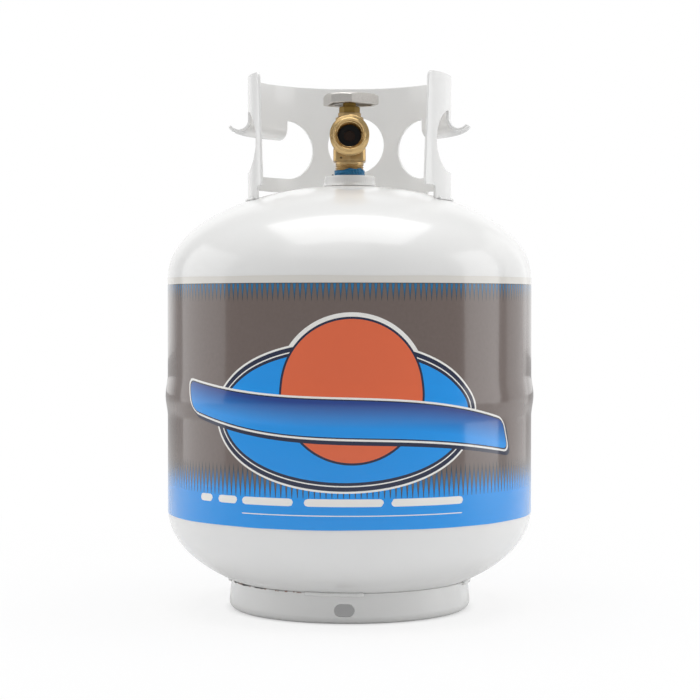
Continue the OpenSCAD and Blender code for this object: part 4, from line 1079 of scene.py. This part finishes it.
def make_stage():
    """Pale floor, room light, soft boxes and the camera."""
    s = look().studio
    scene = bpy.context.scene
    scene.view_settings.view_transform = "Standard"
    world = bpy.data.worlds.new("white_room")
    scene.world = world
    world.use_nodes = True
    tree = world.node_tree
    tree.nodes.clear()
    path = add(tree, "ShaderNodeLightPath")
    seen = add(tree, "ShaderNodeMath", {0: path.outputs["Is Camera Ray"],
                                        1: path.outputs["Is Transmission Ray"]},
               operation="MAXIMUM")
    # The room is darker on the camera's side than behind the object
    toward = add(tree, "ShaderNodeSeparateXYZ",
                 {0: add(tree, "ShaderNodeTexCoord").outputs["Generated"]})
    room = add(tree, "ShaderNodeMapRange", {"Value": toward.outputs["Y"], "From Min": 0.7,
                                            "From Max": 0.88, "To Min": s.front,
                                            "To Max": s.back}, interpolation_type="SMOOTHSTEP")
    level = add(tree, "ShaderNodeMix", {"Factor": seen.outputs[0], "A": room.outputs[0],
                                        "B": 1.0}, data_type="FLOAT")
    sky = add(tree, "ShaderNodeBackground", {"Color": (1, 1, 1, 1),
                                             "Strength": level.outputs[0]})
    add(tree, "ShaderNodeOutputWorld", {"Surface": sky.outputs[0]})

    floor = bpy.data.meshes.new("floor")
    far, ground = 8.0, -0.0002
    floor.from_pydata([(-far, -far, ground), (far, -far, ground), (far, far, ground),
                       (-far, far, ground)], [], [(0, 1, 2, 3)])
    plane = bpy.data.objects.new("floor", floor)
    scene.collection.objects.link(plane)
    floor.materials.append(floor_paper())

    # Name, place, aim, width, height and power of each soft box
    boxes = (
        ("top_box", (0.0, -0.05, 1.9), (0.0, 0.0, 0.2), 1.6, 1.4, 18.0),
        ("front_top_box", (-0.5, -1.3, 1.9), (0.0, 0.0, 0.3), 1.6, 1.2, 4.0),
        ("left_box", (-1.48, 0.3, 0.55), (0.0, 0.0, 0.25), 1.3, 1.3, 5.0),
        ("right_box", (1.5, -0.08, 0.6), (0.0, 0.0, 0.25), 0.85, 1.3, 5.6),
        ("right_far_box", (1.2, 0.88, 0.6), (0.0, 0.0, 0.25), 0.9, 1.3, 1.8),
    )
    for name, at, aim, wide, tall, power in boxes:
        lamp = bpy.data.lights.new(name, "AREA")
        lamp.shape = "RECTANGLE"
        lamp.size, lamp.size_y, lamp.energy = wide, tall, power
        obj = bpy.data.objects.new(name, lamp)
        obj.location = at
        obj.rotation_euler = (Vector(aim) - Vector(at)).to_track_quat("-Z", "Y").to_euler()
        scene.collection.objects.link(obj)

    cam = bpy.data.cameras.new("camera")
    cam.lens = s.lens
    cam.sensor_width = 36.0
    eye = bpy.data.objects.new("camera", cam)
    eye.location = (0.0004, -s.distance, s.height)
    eye.rotation_euler = (math.pi / 2 - s.tilt, 0, 0)
    scene.collection.objects.link(eye)
    scene.camera = eye


# ---------------------------------------------------------------- operators and panel
class CYLINDER_OT_materials(bpy.types.Operator):
    """Make the materials and dress the frame's own nodes"""
    bl_idname = "cylinder.materials"
    bl_label = "Materials"

    def execute(self, context):
        make_materials()
        dress_frame()
        return {"FINISHED"}


class CYLINDER_OT_domes(bpy.types.Operator):
    """Build the two pressed halves of the body"""
    bl_idname = "cylinder.domes"
    bl_label = "Domes"

    def execute(self, context):
        build_domes()
        return {"FINISHED"}


class CYLINDER_OT_collar(bpy.types.Operator):
    """Build the rolled collar and the welds at its feet"""
    bl_idname = "cylinder.collar"
    bl_label = "Collar"

    def execute(self, context):
        build_collar()
        return {"FINISHED"}


class CYLINDER_OT_boss(bpy.types.Operator):
    """Build the neck boss and its weld"""
    bl_idname = "cylinder.boss"
    bl_label = "Neck boss"

    def execute(self, context):
        build_boss()
        return {"FINISHED"}


class CYLINDER_OT_foot(bpy.types.Operator):
    """Build the foot ring and its stitch welds"""
    bl_idname = "cylinder.foot"
    bl_label = "Foot ring"

    def execute(self, context):
        build_foot()
        return {"FINISHED"}


class CYLINDER_OT_film(bpy.types.Operator):
    """Build the printed film around the body"""
    bl_idname = "cylinder.film"
    bl_label = "Film sleeve"

    def execute(self, context):
        build_film()
        return {"FINISHED"}


class CYLINDER_OT_valve(bpy.types.Operator):
    """Build the valve body, the bonnet and the sealant"""
    bl_idname = "cylinder.valve"
    bl_label = "Valve"

    def execute(self, context):
        build_valve()
        return {"FINISHED"}


class CYLINDER_OT_wheel(bpy.types.Operator):
    """Build the cast handwheel"""
    bl_idname = "cylinder.wheel"
    bl_label = "Handwheel"

    def execute(self, context):
        build_wheel()
        return {"FINISHED"}


class CYLINDER_OT_stage(bpy.types.Operator):
    """Set up the floor, the lights and the camera"""
    bl_idname = "cylinder.stage"
    bl_label = "Stage"

    def execute(self, context):
        make_stage()
        return {"FINISHED"}


OPERATORS = (CYLINDER_OT_materials, CYLINDER_OT_domes, CYLINDER_OT_collar, CYLINDER_OT_boss,
             CYLINDER_OT_foot, CYLINDER_OT_film, CYLINDER_OT_valve, CYLINDER_OT_wheel,
             CYLINDER_OT_stage)


class CYLINDER_PT_panel(bpy.types.Panel):
    """Lists the pieces of the cylinder"""
    bl_idname = "CYLINDER_PT_panel"
    bl_label = "Gas Cylinder"
    bl_space_type = "VIEW_3D"
    bl_region_type = "UI"
    bl_category = "Cylinder"

    def draw(self, context):
        for op in OPERATORS:
            self.layout.operator(op.bl_idname)


CLASSES = (EnamelLook, FilmLook, MetalLook, StudioLook, CylinderLook, *OPERATORS,
           CYLINDER_PT_panel)


def register():
    """Registers the classes and the scene's property."""
    for cls in CLASSES:
        bpy.utils.register_class(cls)
    bpy.types.Scene.cylinder_look = PointerProperty(type=CylinderLook)


def unregister():
    """Removes what register added."""
    del bpy.types.Scene.cylinder_look
    for cls in reversed(CLASSES):
        bpy.utils.unregister_class(cls)


def main():
    """Builds everything."""
    register()
    for op in OPERATORS:
        group, name = op.bl_idname.split(".")
        getattr(getattr(bpy.ops, group), name)()


if __name__ == "__main__":
    main()
